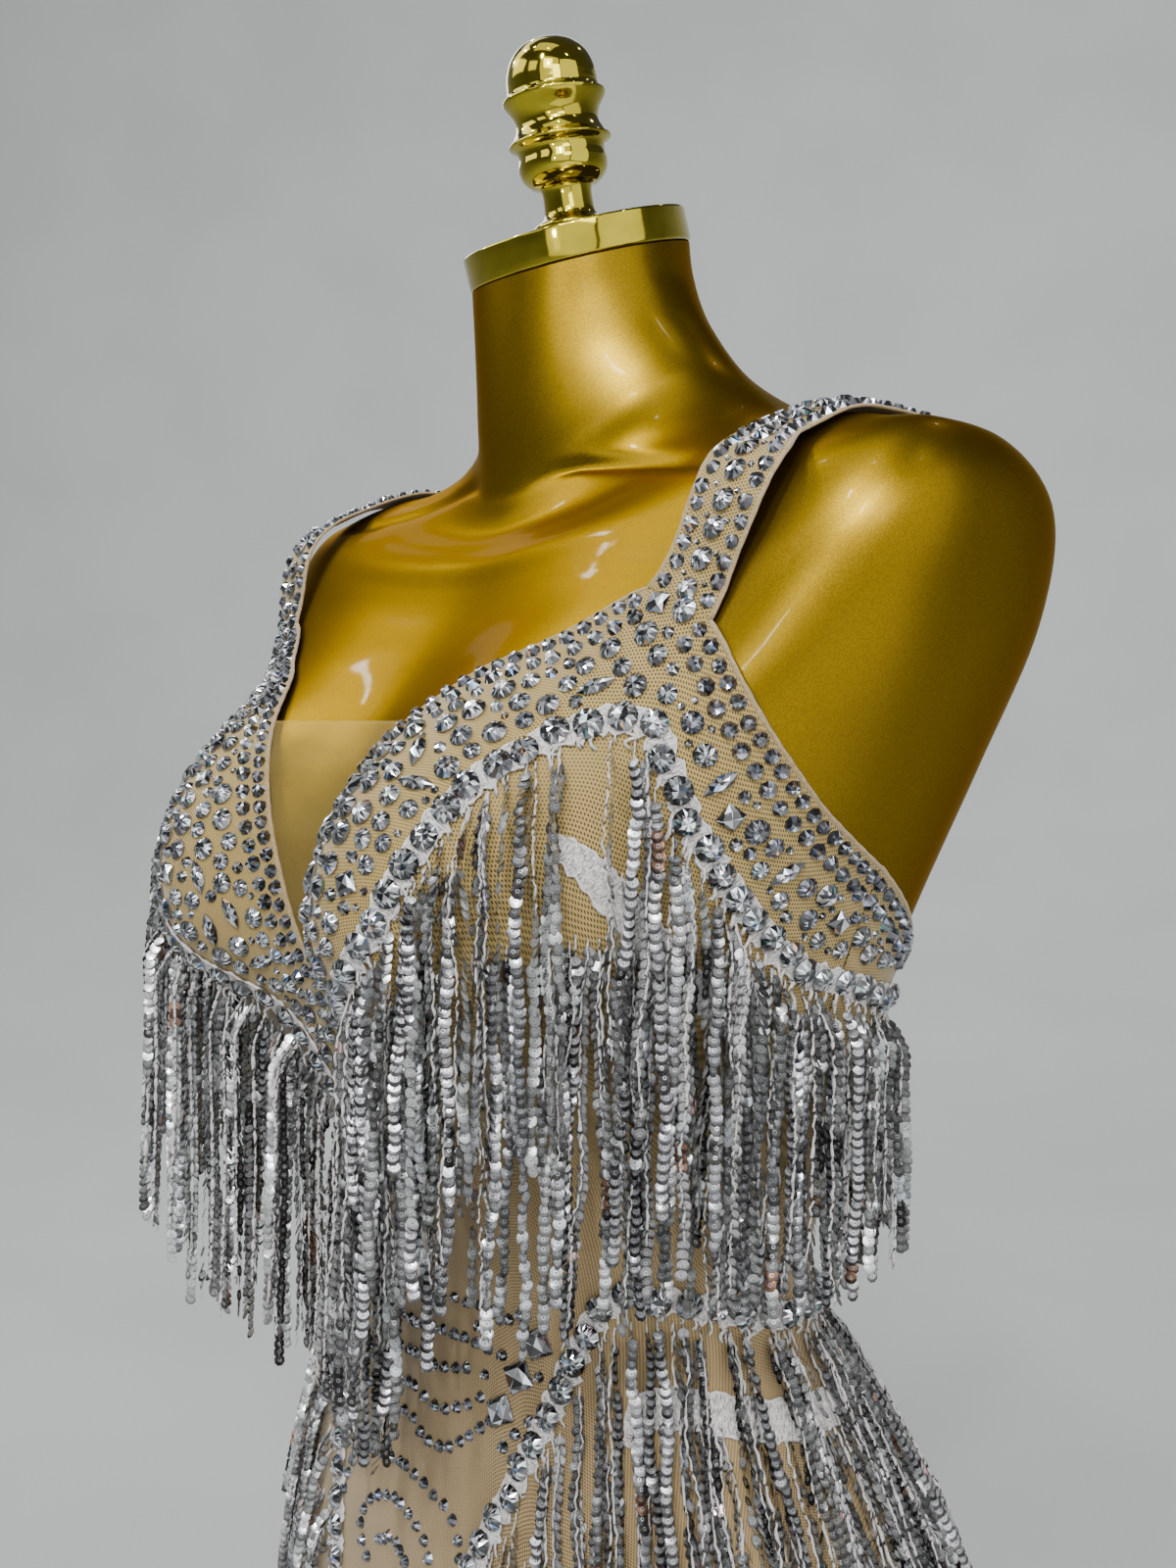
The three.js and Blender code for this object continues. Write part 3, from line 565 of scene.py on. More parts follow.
def lace_ground():
    """Satin-stitch ground: its UV map runs along and across the applique, in metres."""
    m, nt, p, _ = material("white_lace_ground")
    uv = nt.nodes.new("ShaderNodeUVMap")
    uv.uv_map = "flat"
    lie = nt.nodes.new("ShaderNodeMapping")
    lie.inputs["Scale"].default_value = (2.6, 0.42, 1)
    lie.inputs["Rotation"].default_value = (0, 0, 0.35)
    nt.links.new(uv.outputs[0], lie.inputs["Vector"])
    stitch = noise(nt, lie.outputs[0], 900, 3.0, 0.6)
    co = coords(nt)
    fuzz = noise(nt, co, 1100, 4.0, 0.7)
    both = maths(nt, "ADD", maths(nt, "MULTIPLY", stitch, 0.6), maths(nt, "MULTIPLY", fuzz, 0.4))
    white = mix_colour(nt, ramp(nt, both, 0.40, 0.58), (0.22, 0.20, 0.18), (0.74, 0.725, 0.71))
    nt.links.new(white, p.inputs["Base Color"])
    set_all(p, Roughness=0.7, Sheen_Weight=0.5, Sheen_Roughness=0.35)
    bump(nt, p, both, 1.0, 0.0012)
    return m


def white_thread():
    m, nt, p, _ = material("white_twisted_thread")
    co = coords(nt)
    fibre = noise(nt, co, 1700, 3.0, 0.65)
    nt.links.new(mix_colour(nt, ramp(nt, fibre, 0.3, 0.7), (0.33, 0.315, 0.305), (0.70, 0.68, 0.67)), p.inputs["Base Color"])
    set_all(p, Roughness=0.8, Sheen_Weight=0.5, Sheen_Roughness=0.4)
    bump(nt, p, fibre, 0.9, 0.0006)
    return m


def tone_of(nt):
    a = nt.nodes.new("ShaderNodeAttribute")
    a.attribute_type, a.attribute_name = "GEOMETRY", "tone"
    return a


def sequin_foil():
    """Cup sequins: the disc map has its centre at 0 and its rim at 1, +Y to the thread's top. The tone's alpha sets the
    strength of a painted dark crescent at the lower edge, the shade of the turned-down rim; a painted dark line runs
    round the edge, a painted highlight ring round the hole, and the hole is painted dark as shade.
    """
    m, nt, p, _ = material("silver_cup_sequin")
    uv = nt.nodes.new("ShaderNodeUVMap")
    uv.uv_map = "flat"

    def distance(centre_y):
        v = nt.nodes.new("ShaderNodeVectorMath")
        v.operation = "DISTANCE"
        nt.links.new(uv.outputs[0], v.inputs[0])
        v.inputs[1].default_value = (0, centre_y, 0)
        return v.outputs["Value"]

    tone = tone_of(nt)
    # painted shade: a dark crescent at the lower rim, as strong as the tone's alpha
    rim = maths(nt, "MULTIPLY", ramp(nt, distance(0.42), 0.84, 0.92), tone.outputs["Alpha"])
    painted_shade_black = mix_colour(nt, 1.0, tone.outputs["Color"], (0.045, 0.043, 0.05), "MULTIPLY")
    colour = mix_colour(nt, rim, tone.outputs["Color"], painted_shade_black)
    # painted shade: a dark line all round the disc's edge
    line = maths(nt, "MULTIPLY", ramp(nt, distance(0.0), 0.84, 0.93), 0.62)
    colour = mix_colour(nt, line, colour, painted_shade_black)
    r = distance(0.02)
    # painted highlight: a bright ring round the hole
    lip = maths(nt, "MULTIPLY", ramp(nt, r, 0.15, 0.19), ramp(nt, r, 0.31, 0.26))
    colour = mix_colour(nt, maths(nt, "MULTIPLY", lip, 0.5), colour, (0.95, 0.96, 0.98))
    # painted shade: the hole at the centre is painted dark
    hole = ramp(nt, r, 0.17, 0.12)
    colour = mix_colour(nt, maths(nt, "MULTIPLY", hole, 0.75), colour, (0.05, 0.045, 0.04))
    co = coords(nt)
    scuff = noise(nt, co, 900, 3.0, 0.6)
    colour = mix_colour(nt, ramp(nt, scuff, 0.42, 0.70, 0.0, 0.35), colour, (0.13, 0.125, 0.125))
    nt.links.new(colour, p.inputs["Base Color"])
    nt.links.new(ramp(nt, noise(nt, co, 500, 2.0), 0.3, 0.7, 0.16, 0.30), p.inputs["Roughness"])
    set_all(p, Metallic=0.66, Coat_Weight=0.25, Coat_Roughness=0.07)
    bump(nt, p, scuff, 0.12, 0.0002)
    return m


def stone_glass(name, metallic):
    m, nt, p, _ = material(name)
    tone = tone_of(nt)
    nt.links.new(tone.outputs["Color"], p.inputs["Base Color"])
    nt.links.new(ramp(nt, noise(nt, coords(nt), 700, 1.0), 0.3, 0.7, 0.05, 0.11), p.inputs["Roughness"])
    set_all(p, Metallic=metallic, Coat_Weight=1.0, Coat_Roughness=0.03, Coat_IOR=1.6)
    return m


def stage_paper():
    m, nt, p, _ = material("pale_studio")
    co = coords(nt)
    nt.links.new(mix_colour(nt, ramp(nt, noise(nt, co, 3, 2.0), 0.3, 0.7), (0.345, 0.355, 0.352), (0.37, 0.38, 0.377)), p.inputs["Base Color"])
    set_all(p, Roughness=0.9)
    return m


GOLD, BRASS, MESH, SHEER, EDGE = gold_paint(), brass(), power_mesh(), sheer_mesh(), binding_cloth()
LACE, GROUND, THREAD, SEQUIN = lace_thread(), lace_ground(), white_thread(), sequin_foil()
CLEAR, DARK = stone_glass("clear_foiled_stone", 0.86), stone_glass("grey_foiled_stone", 0.7)


# ------------------------------------------------------------------ dress form
def gauss(d, w):
    return np.exp(-(d / w) ** 2)


def form_detail(p, phi):
    """Shallow modelling of the bare form: the groove where the neck meets the chest, its lip, a slight swell at the
    throat and a shallow hollow down the middle of the chest.
    """
    x, z = np.abs(p[..., 0]), p[..., 2]
    front = smooth((np.cos(phi) - 0.02) / 0.25)
    line = np.interp(x, [0, 10, 18, 27, 38, 55, 78, 106, 127, 150], [637, 643, 647.3, 650.0, 651, 649.8, 647.4, 643.8, 642.9, 643])
    ends = smooth((x - 12) / 28) * (1 - smooth((x - 112) / 40))
    groove = -2.4 * gauss(z - line - 1.0, 2.9) * ends
    lip = 0.6 * gauss(z - line + 6.5, 7.0) * ends
    notch = 1.3 * gauss(x, 22) * gauss(z - 646, 12)
    middle = -1.2 * gauss(x, 26) * smooth((z - 520) / 50) * (1 - smooth((z - 604) / 36))
    return front * (groove + lip + notch + middle)


def form_torso():
    phis = []
    for lo, hi, step in ((-90, 90, 1.25), (90, 270, 2.5)):
        phis += list(np.arange(lo, hi, step))
    phi = np.radians(phis)
    v = np.concatenate([np.arange(1, 9, 0.16), np.arange(9, 13, 0.1), np.arange(13, 24.001, 0.11)])
    v[-1] = 24
    PH, VV = np.meshgrid(phi, v)
    p = form_point(PH, VV)
    _, n = surface(PH, VV, 0.0, 0.0)
    p = p + n * form_detail(p, PH)[..., None]
    R, C = p.shape[:2]
    idx = np.arange(R * C).reshape(R, C)
    nx = np.roll(idx, -1, axis=1)
    quads = np.stack([idx[:-1].ravel(), nx[:-1].ravel(), nx[1:].ravel(), idx[1:].ravel()], -1)
    # the base and the end of the neck are fans
    verts = np.concatenate([p.reshape(-1, 3), p[0].mean(0)[None], p[-1].mean(0)[None]])
    low = np.stack([np.full(C, R * C), nx[0], idx[0]], -1)
    high = np.stack([np.full(C, R * C + 1), idx[-1], nx[-1]], -1)
    torso = build("form_torso_smooth", verts, [quads, np.concatenate([low, high])], GOLD, "form_gold")

    # arch between the leg ends
    rings = []
    ys = np.arange(-190, 191, 10.0)
    corner = np.radians(np.linspace(0, 90, 9))
    for y in ys:
        top = CROTCH_Z + 38 * (abs(np.clip(y, -128, 140) - 8) / 98) ** 2.5
        h = LEG_GAP_HALF
        ring = [(-h, y, -20), (h, y, -20)]
        ring += [(h - 9 + 9 * math.cos(a), y, top - 9 + 9 * math.sin(a)) for a in corner]
        ring += [(-h + 9 - 9 * math.sin(a), y, top - 9 + 9 * math.cos(a)) for a in corner]
        rings.append(ring)
    rings = np.array(rings)
    k = rings.shape[1]
    idx = np.arange(len(ys) * k).reshape(len(ys), k)
    nx = np.roll(idx, -1, axis=1)
    arch = build("arch_cutter", rings.reshape(-1, 3),
                 [np.stack([idx[:-1].ravel(), idx[1:].ravel(), nx[1:].ravel(), nx[:-1].ravel()], -1), idx[0][None], idx[-1][::-1][None]],
                 GOLD, None)
    # everything above the cap's plane
    t = math.radians(CAP["tilt"])
    box = np.array([(x, y, z) for z in (0, 200) for x, y in ((-150, -150), (150, -150), (150, 150), (-150, 150))], float)
    turn = np.array([[1, 0, 0], [0, math.cos(t), -math.sin(t)], [0, math.sin(t), math.cos(t)]])
    box = box @ turn.T + [0, CAP["y"], CAP["z"]]
    over = build("cap_cutter", box, [np.array([(3, 2, 1, 0), (4, 5, 6, 7), (0, 1, 5, 4), (1, 2, 6, 5), (2, 3, 7, 6), (3, 0, 4, 7)])], GOLD, None)
    for cutter in (arch, over):
        mod = torso.modifiers.new("cut", "BOOLEAN")
        mod.operation, mod.solver, mod.object = "DIFFERENCE", "EXACT", cutter
    dg = bpy.context.evaluated_depsgraph_get()
    cut = bpy.data.meshes.new_from_object(torso.evaluated_get(dg))
    torso.modifiers.clear()
    old = torso.data
    torso.data = cut
    cut.name = "form_torso_smooth"
    bpy.data.meshes.remove(old)
    for cutter in (arch, over):
        bpy.data.objects.remove(cutter)
    while len(cut.materials) > 1:
        cut.materials.pop()
    cut.polygons.foreach_set("material_index", np.zeros(len(cut.polygons), np.int32))
    cut.set_sharp_from_angle(angle=math.radians(38))
    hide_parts("form_torso")
    return torso


def turned(profile, segments, tilt, lift):
    pr = np.asarray(profile, float)
    a = np.linspace(0, 2 * np.pi, segments, endpoint=False)
    ring = pr[1:-1]
    V = np.stack([ring[:, None, 0] * np.cos(a), ring[:, None, 0] * np.sin(a), np.repeat(ring[:, 1:2], segments, 1)], -1)
    R, C = V.shape[:2]
    idx = np.arange(R * C).reshape(R, C)
    nx = np.roll(idx, -1, axis=1)
    verts = np.concatenate([V.reshape(-1, 3), [[0, 0, pr[0, 1]], [0, 0, pr[-1, 1]]]])
    quads = np.stack([idx[:-1].ravel(), nx[:-1].ravel(), nx[1:].ravel(), idx[1:].ravel()], -1)
    tris = np.concatenate([np.stack([np.full(C, R * C), nx[0], idx[0]], -1), np.stack([np.full(C, R * C + 1), idx[-1], nx[-1]], -1)])
    t = math.radians(tilt)
    turn = np.array([[1, 0, 0], [0, math.cos(t), -math.sin(t)], [0, math.sin(t), math.cos(t)]])
    c = math.radians(CAP["tilt"])
    verts = verts @ turn.T + [0, CAP["y"] - math.sin(c) * lift, CAP["z"] + math.cos(c) * lift]
    return verts, [quads, tris]


def cap_and_finial():
    R, H, e = CAP["radius"], CAP["height"], 1.1
    corner = [(R - e + e * math.sin(a), e - e * math.cos(a)) for a in np.radians(np.linspace(0, 90, 6))]
    prof = [(0, 0), (R - 8, 0)] + corner + [(R, H * 0.3), (R, H * 0.6)] + [(x, H - z) for x, z in corner[::-1]] + [(R - 8, H), (R - 20, H + 0.05), (0, H + 0.1)]
    v, f = turned(prof, 160, CAP["tilt"], 0.3)
    cap = build("form_neck_cap_polished", v, f, BRASS, "form_brass", sharp=50)
    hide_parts("form_neck_cap")
    # Catmull-Rom through the turned profile, with its fillets kept soft
    pts = np.array([(r, s * FINIAL["height"]) for r, s in FINIAL_PROFILE])
    body = pts[3:]
    ext = np.concatenate([[2 * body[0] - body[1]], body, [(-body[-2][0], body[-2][1])]])
    fine = []
    for i in range(1, len(ext) - 2):
        a, b, c, d = ext[i - 1], ext[i], ext[i + 1], ext[i + 2]
        for t in np.linspace(0, 1, 5, endpoint=False):
            fine.append(0.5 * (2 * b + (c - a) * t + (2 * a - 5 * b + 4 * c - d) * t * t + (3 * b - a - 3 * c + d) * t ** 3))
    fine.append(body[-1])
    foot = [(0, 0), (14.6, 0), (15.2, 0.5), (15.2, 1.2), (14.6, 2.0), (13.0, 2.9)]
    prof = np.array(foot + [tuple(q) for q in fine])
    prof[:, 0] = np.maximum(prof[:, 0], 0)
    prof[-1, 0] = 0
    lift = 0.3 + CAP["height"] + 0.3 + 15.2 * math.sin(math.radians(CAP["tilt"] - FINIAL["tilt"]))
    v, f = turned(prof, 88, FINIAL["tilt"], lift)
    fin = build("form_finial_polished", v, f, BRASS, "form_brass", sharp=55)
    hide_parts("form_finial")


form_torso()
cap_and_finial()


# ------------------------------------------------------------------ cloth
def crease(deg, z):
    """Soft troughs and ridges of the stretched mesh, in millimetres. Each row: start and end (angle, height), width, depth."""
    total = np.zeros(np.broadcast(deg, z).shape)
    for a0, z0, a1, z1, width, depth in CREASES:
        # along and across the fold, with an angle step taken as 2.1 mm
        ux, uz = (a1 - a0) * 2.1, z1 - z0
        L = math.hypot(ux, uz)
        dx, dz = (deg - a0) * 2.1, z - z0
        along = (dx * ux + dz * uz) / L
        across = (dx * uz - dz * ux) / L + 1.6 * np.sin(along * 0.11 + a0)
        fade = smooth((along + 0.1 * L) / (0.35 * L)) * (1 - smooth((along - 0.72 * L) / (0.36 * L)))
        total += depth * gauss(across, width) * fade - 0.35 * depth * gauss(across - 1.9 * width, width) * fade
    return total


CREASES = [
    (-40, 362, 3, 334, 3.6, 0.8), (38, 366, -6, 343, 4.0, 0.9), (-28, 318, 24, 311, 4.4, 0.55), (62, 452, 34, 398, 4.2, 0.8),
    (-66, 446, -37, 402, 4.0, 0.85), (79, 494, 60, 470, 3.4, 0.7), (-80, 490, -62, 472, 3.4, 0.65), (88, 372, 52, 341, 3.8, 0.8),
    (-86, 366, -55, 340, 4.0, 0.8), (14, 236, 4, 150, 5.0, 0.6), (-15, 232, -3, 160, 5.0, 0.6), (46, 226, 16, 172, 4.6, 0.8),
    (-48, 222, -18, 168, 4.6, 0.75), (68, 256, 34, 214, 4.4, 0.7), (-70, 250, -36, 210, 4.4, 0.7), (12, 402, -11, 386, 4.2, 0.5),
    (31, 590, 24, 560, 3.0, 0.45), (-31, 588, -25, 562, 3.0, 0.45), (96, 400, 128, 372, 4.4, 0.8), (-98, 392, -126, 368, 4.4, 0.8),
    (176, 352, 128, 362, 4.2, 0.9), (-172, 338, -130, 346, 4.2, 0.85), (168, 326, 196, 322, 4.6, 0.7), (150, 242, 120, 200, 5.0, 0.8),
    (-148, 236, -118, 196, 5.0, 0.8), (174, 214, 166, 140, 5.0, 0.7), (-173, 216, -166, 142, 5.0, 0.7)]


def panel(name, table, cols, rows, node_name):
    s = np.linspace(table[0][0], table[-1][0], cols)
    q = spline(table, s)
    # keep the corner where the strap meets the neckline and the armhole
    if table is FRONT:
        lin = np.stack([np.interp(s, [r[0] for r in table], [r[k] for r in table]) for k in range(1, 5)], -1)
        near = np.exp(-((s - 7) / 0.7) ** 4)[:, None]
        q = q * (1 - near) + lin * near
    t = np.linspace(0, 1, rows)[:, None]
    half_deg = q[:, 0] + (q[:, 2] - q[:, 0]) * t
    half_z = q[:, 1] + (q[:, 3] - q[:, 1]) * t
    if table is FRONT:
        deg = np.concatenate([-half_deg[:, :0:-1], half_deg], 1)
        z = np.concatenate([half_z[:, :0:-1], half_z], 1)
    else:
        deg = np.concatenate([half_deg, 360 - half_deg[:, -2::-1]], 1)
        z = np.concatenate([half_z, half_z[:, -2::-1]], 1)
    phi = np.radians(deg)
    v = v_at(phi, z)
    signed = np.where(deg > 180, deg - 360, deg) if table is FRONT else deg
    fold = crease(signed, z) + (crease(deg - 360, z) if table is BACK else 0)
    # nothing lifts the cloth next to its sewn edges
    fold = fold * smooth(np.minimum(t, 1 - t) / 0.05)
    lift = np.clip(fold, -0.6, 1.6)
    inner, _ = surface(phi, v, CLOTH_IN + lift)
    outer, _ = surface(phi, v, CLOTH_OUT + lift)
    mid = (inner + outer) / 2
    # flat map in metres: heights and widths measured on the cloth
    width = np.concatenate([np.zeros((rows, 1)), np.cumsum(np.linalg.norm(np.diff(mid, axis=1), axis=2), 1)], 1)
    width -= width[:, deg.shape[1] // 2][:, None]
    height = np.concatenate([np.zeros((1, deg.shape[1])), np.cumsum(np.linalg.norm(np.diff(mid, axis=0), axis=2), 0)], 0)
    height = height - height[-1:] * 1.0
    uv = np.stack([width, height], -1) * 0.001
    verts, faces, uv = wall(inner, outer, uv)
    ob = build(name, verts, faces, MESH, "power_mesh", uv=uv, sharp=60)
    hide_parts(node_name)
    return ob, mid


FRONT_OB, FRONT_MID = panel("bodysuit_front_cloth", FRONT, 74, 104, "bodysuit_front")
BACK_OB, BACK_MID = panel("bodysuit_back_cloth", BACK, 58, 84, "bodysuit_back")


def insert_corners(off):
    rows = FRONT[:5]
    p, _ = at([r[3] for r in rows], [r[4] for r in rows], off)
    p[0, 0] = 0
    return p


def plunge_insert():
    low, high = insert_corners(CLOTH_IN), insert_corners(3.0)
    s = np.linspace(0.30, 3.97, 56)
    i = np.minimum(np.floor(s).astype(int), 3)
    t = (s - i)[:, None]
    a, b = low[i] * (1 - t) + low[i + 1] * t, high[i] * (1 - t) + high[i + 1] * t
    x = np.minimum(a[:, 0], b[:, 0]) - 0.7
    y, z = (a[:, 1] + b[:, 1]) / 2, (a[:, 2] + b[:, 2]) / 2
    u = np.linspace(-1, 1, 33)
    X, Yc, Zc = x[:, None] * u, np.repeat(y[:, None], 33, 1), np.repeat(z[:, None], 33, 1)
    k = np.linspace(0, 1, 56)[:, None]
    # the net hangs in slightly between its edges, with a soft pull line down the middle
    sag = 1.5 * (1 - u ** 2) * smooth(k) + 0.45 * gauss(X - 2.5 - 3 * k, 2.2) * k - 0.35 * gauss(X + 7 * k, 3.0) * k
    Yc = Yc + sag
    inner, outer = np.stack([X, Yc + 0.22, Zc], -1), np.stack([X, Yc - 0.22, Zc], -1)
    uv = np.stack([X, Zc], -1) * 0.001
    verts, faces, uv = wall(inner, outer, uv)
    ob = build("plunge_insert_net", verts, faces, SHEER, "sheer_mesh", uv=uv)
    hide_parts("plunge_insert")
    # turned hem along its top edge
    top = (inner[-1] + outer[-1]) / 2
    sec = [(0.55 * math.cos(a) - 0.3, 0.24 * math.sin(a)) for a in np.linspace(0, 2 * np.pi, 8, endpoint=False)]
    A = np.repeat([[0, 0, 1.0]], len(top), 0)
    B = np.repeat([[0, -1.0, 0]], len(top), 0)
    hv, hf = sweep(top, A, B, sec)
    hem = build("plunge_insert_hem", hv, hf, SHEER, "sheer_mesh", uv=np.asarray(hv)[:, [0, 2]] * 0.001)
    return ob, hem


INSERT_OB, INSERT_HEM = plunge_insert()


def strap_grid(off, cols, steps):
    """Left strap, rows from front to back, with its lift over the hollow of the shoulder."""
    last = STRAP_ROWS[-1][0]
    s = np.linspace(0, last, steps)
    q = spline(STRAP_ROWS, s)
    lift = np.where(s < 4.6, 6 * np.sin(np.pi * s / 4.6) ** 2, 0)
    u = np.linspace(0, 1, cols)
    phi = np.radians(q[:, 0:1] + (q[:, 2:3] - q[:, 0:1]) * u)
    v = q[:, 1:2] + (q[:, 3:4] - q[:, 1:2]) * u
    edge = 0.35 * np.abs(2 * u - 1) ** 6
    P, N = surface(phi, v, off + lift[:, None] + edge + 0 * phi)
    # ends sit on the sewn edges of the panels
    f, nf = at([34.5, 39.3, 44], [598.3, 593.1, 587.3], off)
    b, nb = at([154, 149, 144], [467.3, 468.3, 469.3], off)
    for row, ends in ((0, f), (-1, b)):
        P[row] = np.stack([np.interp(u, [0, 0.5, 1], ends[:, k]) for k in range(3)], -1)
    return P, N, s


def straps():
    obs, grids = [], []
    for side, sign in (("left", 1), ("right", -1)):
        a, N, s = strap_grid(CLOTH_IN, 11, 150)
        b, _, _ = strap_grid(CLOTH_OUT, 11, 150)
        for g in (a, b, N):
            g[..., 0] *= sign
        length = np.concatenate([[0], np.cumsum(np.linalg.norm(np.diff((a[:, 5] + b[:, 5]) / 2, axis=0), axis=1))])
        across = np.linspace(-14, 14, 11)
        uv = np.stack(np.meshgrid(across, length), -1) * 0.001
        if sign < 0:
            a, b, uv, N = a[:, ::-1], b[:, ::-1], uv[:, ::-1], N[:, ::-1]
        verts, faces, uv = wall(a, b, uv)
        ob = build(f"strap_{side}_cloth", verts, faces, MESH, "power_mesh", uv=uv, sharp=60)
        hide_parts(f"strap_{side}")
        obs.append(ob)
        grids.append((a, b, N, length))
    return obs, grids


STRAP_OBS, STRAP_GRIDS = straps()


def gusset():
    half, n = 26.5, 60
    path = [(at(0, 103.4, CLOTH_IN)[0][1], 103.4), (at(0, 99, CLOTH_IN)[0][1], 99)]
    for y in np.linspace(-84, 104, 34):
        path.append((y, CROTCH_Z + 38 * (abs(y - 8) / 98) ** 2.5 - CLOTH_IN))
    path += [(at(180, 111, CLOTH_IN)[0][1], 111), (at(180, 115.4, CLOTH_IN)[0][1], 115.4)]
    _, path = arc_resample(np.array(path), 4.0)
    d = unit(np.gradient(path, axis=0))
    nrm = np.stack([d[:, 1], -d[:, 0]], -1)
    u = np.linspace(-1, 1, 13)
    X = np.repeat((u * half)[None], len(path), 0)
    soft = 0.5 * np.sin(np.linspace(0, 9, len(path)))[:, None] * (1 - u ** 2)

    def grid(off):
        q = path[:, None] + nrm[:, None] * (off + soft[..., None])
        return np.stack([X, q[..., 0], q[..., 1]], -1)

    a, b = grid(0.0), grid(0.8)
    length = np.concatenate([[0], np.cumsum(np.linalg.norm(np.diff(path, axis=0), axis=1))])
    uv = np.stack(np.meshgrid(u * half, length), -1) * 0.001
    verts, faces, uv = wall(a, b, uv)
    ob = build("crotch_gusset_cloth", verts, faces, MESH, "power_mesh", uv=uv, sharp=60)
    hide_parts("crotch_gusset")
    return ob


GUSSET_OB = gusset()


# ------------------------------------------------------------------ sewn edges
def edge_path(kind):
    """Edge of the left half as angle and height, with the steps close together."""
    if kind == "neck":
        s = np.linspace(0.02, 7, 160)
        return spline(FRONT, s)[:, 2:4]
    if kind == "arm":
        s = np.linspace(9, 13, 90)
        a = spline(FRONT, s)[:, 2:4]
        b = spline(BACK, np.linspace(0.05, 5, 100))[:, 2:4]
        return np.concatenate([a, b])
    if kind == "back":
        return spline(BACK, np.linspace(6, 10, 80))[:, 2:4]
    if kind == "leg":
        a = spline(FRONT, np.linspace(3, 13, 200))[:, 0:2]
        b = spline(BACK, np.linspace(0.05, 9, 180))[:, 0:2]
        return np.concatenate([a, b])
    raise ValueError(kind)


def edges():
    heap = Heap()
    t = np.linspace(0, 2 * np.pi, 8, endpoint=False)
    sec0 = np.stack([0.85 * np.cos(t), 0.58 * np.sin(t)], -1)

    def run(P, N, wobble):
        T = unit(np.gradient(P, axis=0))
        A = unit(np.cross(T, N))
        w = 1 + 0.10 * np.sin(np.arange(len(P)) * 1.7 + wobble) + 0.06 * np.sin(np.arange(len(P)) * 0.53)
        v, f = sweep(P, A, N, sec0[None] * w[:, None, None])
        heap.add(v, f)

    for kind in ("neck", "arm", "back", "leg"):
        q = edge_path(kind)
        P, N = at(q[:, 0], q[:, 1], (CLOTH_IN + CLOTH_OUT) / 2 + 0.1)
        _, P, N = arc_resample(P, 2.2, N)
        N = unit(N)
        run(P, N, 0.3)
        M = P * [-1, 1, 1]
        run(M[::-1], (N * [-1, 1, 1])[::-1], 1.1)
    for a, b, N, _ in STRAP_GRIDS:
        for c in (0, -1):
            P = (a[:, c] + b[:, c]) / 2
            _, P, M = arc_resample(P, 2.2, N[:, c])
            run(P, unit(M), 0.7 + c)
    ob = heap.build("bodysuit_edge_binding", EDGE, "power_mesh")
    return ob


EDGE_OB = edges()


# ------------------------------------------------------------------ stones
def faceted(outline, table=0.52, mid=0.80, h_table=1.0, h_mid=0.74, h_girdle=0.30):
    """Flat-backed cut stone: outline (k, 2) at unit radius, height 1, back at 0. Kinds: 0 table, 1 star, 2 girdle, 3 back."""
    k = len(outline)
    half = (outline + np.roll(outline, -1, axis=0)) / 2
    top = np.column_stack([outline * table, np.full(k, h_table)])
    star = np.column_stack([half * mid, np.full(k, h_mid)])
    gird = np.column_stack([outline, np.full(k, h_girdle)])
    base = np.column_stack([outline * 0.93, np.zeros(k)])
    V = np.concatenate([top, star, gird, base, [[0, 0, h_table - 0.05]]])
    i = np.arange(k)
    j = (i + 1) % k
    parts = [(0, np.stack([i, j, np.full(k, 4 * k)], -1)), (1, np.stack([i, k + i, j], -1)),
             (2, np.stack([k + i, 2 * k + i, 2 * k + j], -1)), (1, np.stack([i, 2 * k + i, k + i], -1)),
             (1, np.stack([j, k + i, 2 * k + j], -1)),
             (3, np.stack([np.full(k - 2, 3 * k), 3 * k + i[2:], 3 * k + i[1:-1]], -1))]
    wall_q = np.stack([2 * k + i, 3 * k + i, 3 * k + j, 2 * k + j], -1)
    kinds = [np.concatenate([np.full(len(f), c) for c, f in parts]), np.full(k, 3)]
    return V, [np.concatenate([f for _, f in parts]), wall_q], kinds


def small_stone(k=6, table=0.55):
    a = np.linspace(0, 2 * np.pi, k, endpoint=False)
    o = np.stack([np.cos(a), np.sin(a)], -1)
    b = a + np.pi / k
    top = np.column_stack([np.cos(b) * table, np.sin(b) * table, np.ones(k)])
    low = np.column_stack([o, np.full(k, 0.0)])
    V = np.concatenate([top, low, [[0, 0, 0.94]]])
    i = np.arange(k)
    j = (i + 1) % k
    F = np.concatenate([np.stack([k + i, k + j, i], -1), np.stack([i, k + j, j], -1), np.stack([i, j, np.full(k, 2 * k)], -1),
                        np.stack([np.full(k - 2, k), k + i[2:], k + i[1:-1]], -1)])
    return V, [F], [np.concatenate([np.full(k, 2), np.full(k, 1), np.full(k, 0), np.full(k - 2, 3)])]


def ring(k, phase=0.0):
    a = np.linspace(0, 2 * np.pi, k, endpoint=False) + phase
    return np.stack([np.cos(a), np.sin(a)], -1)


def navette_outline():
    """Pointed oval, long axis along X, unit half length."""
    y = np.linspace(-1, 1, 5)
    low = [(x, -0.40 * (1 - x * x) ** 0.85) for x in y]
    high = [(x, 0.40 * (1 - x * x) ** 0.85) for x in y[::-1]]
    return np.array(low[:-1] + high[:-1])


def square_outline():
    pts = []
    for cx, cy, a0 in ((1, 1, 0), (-1, 1, 90), (-1, -1, 180), (1, -1, 270)):
        for a in (a0 + 20, a0 + 70):
            pts.append((0.62 * cx + 0.12 * math.cos(math.radians(a)), 0.62 * cy + 0.12 * math.sin(math.radians(a))))
    return np.array(pts)


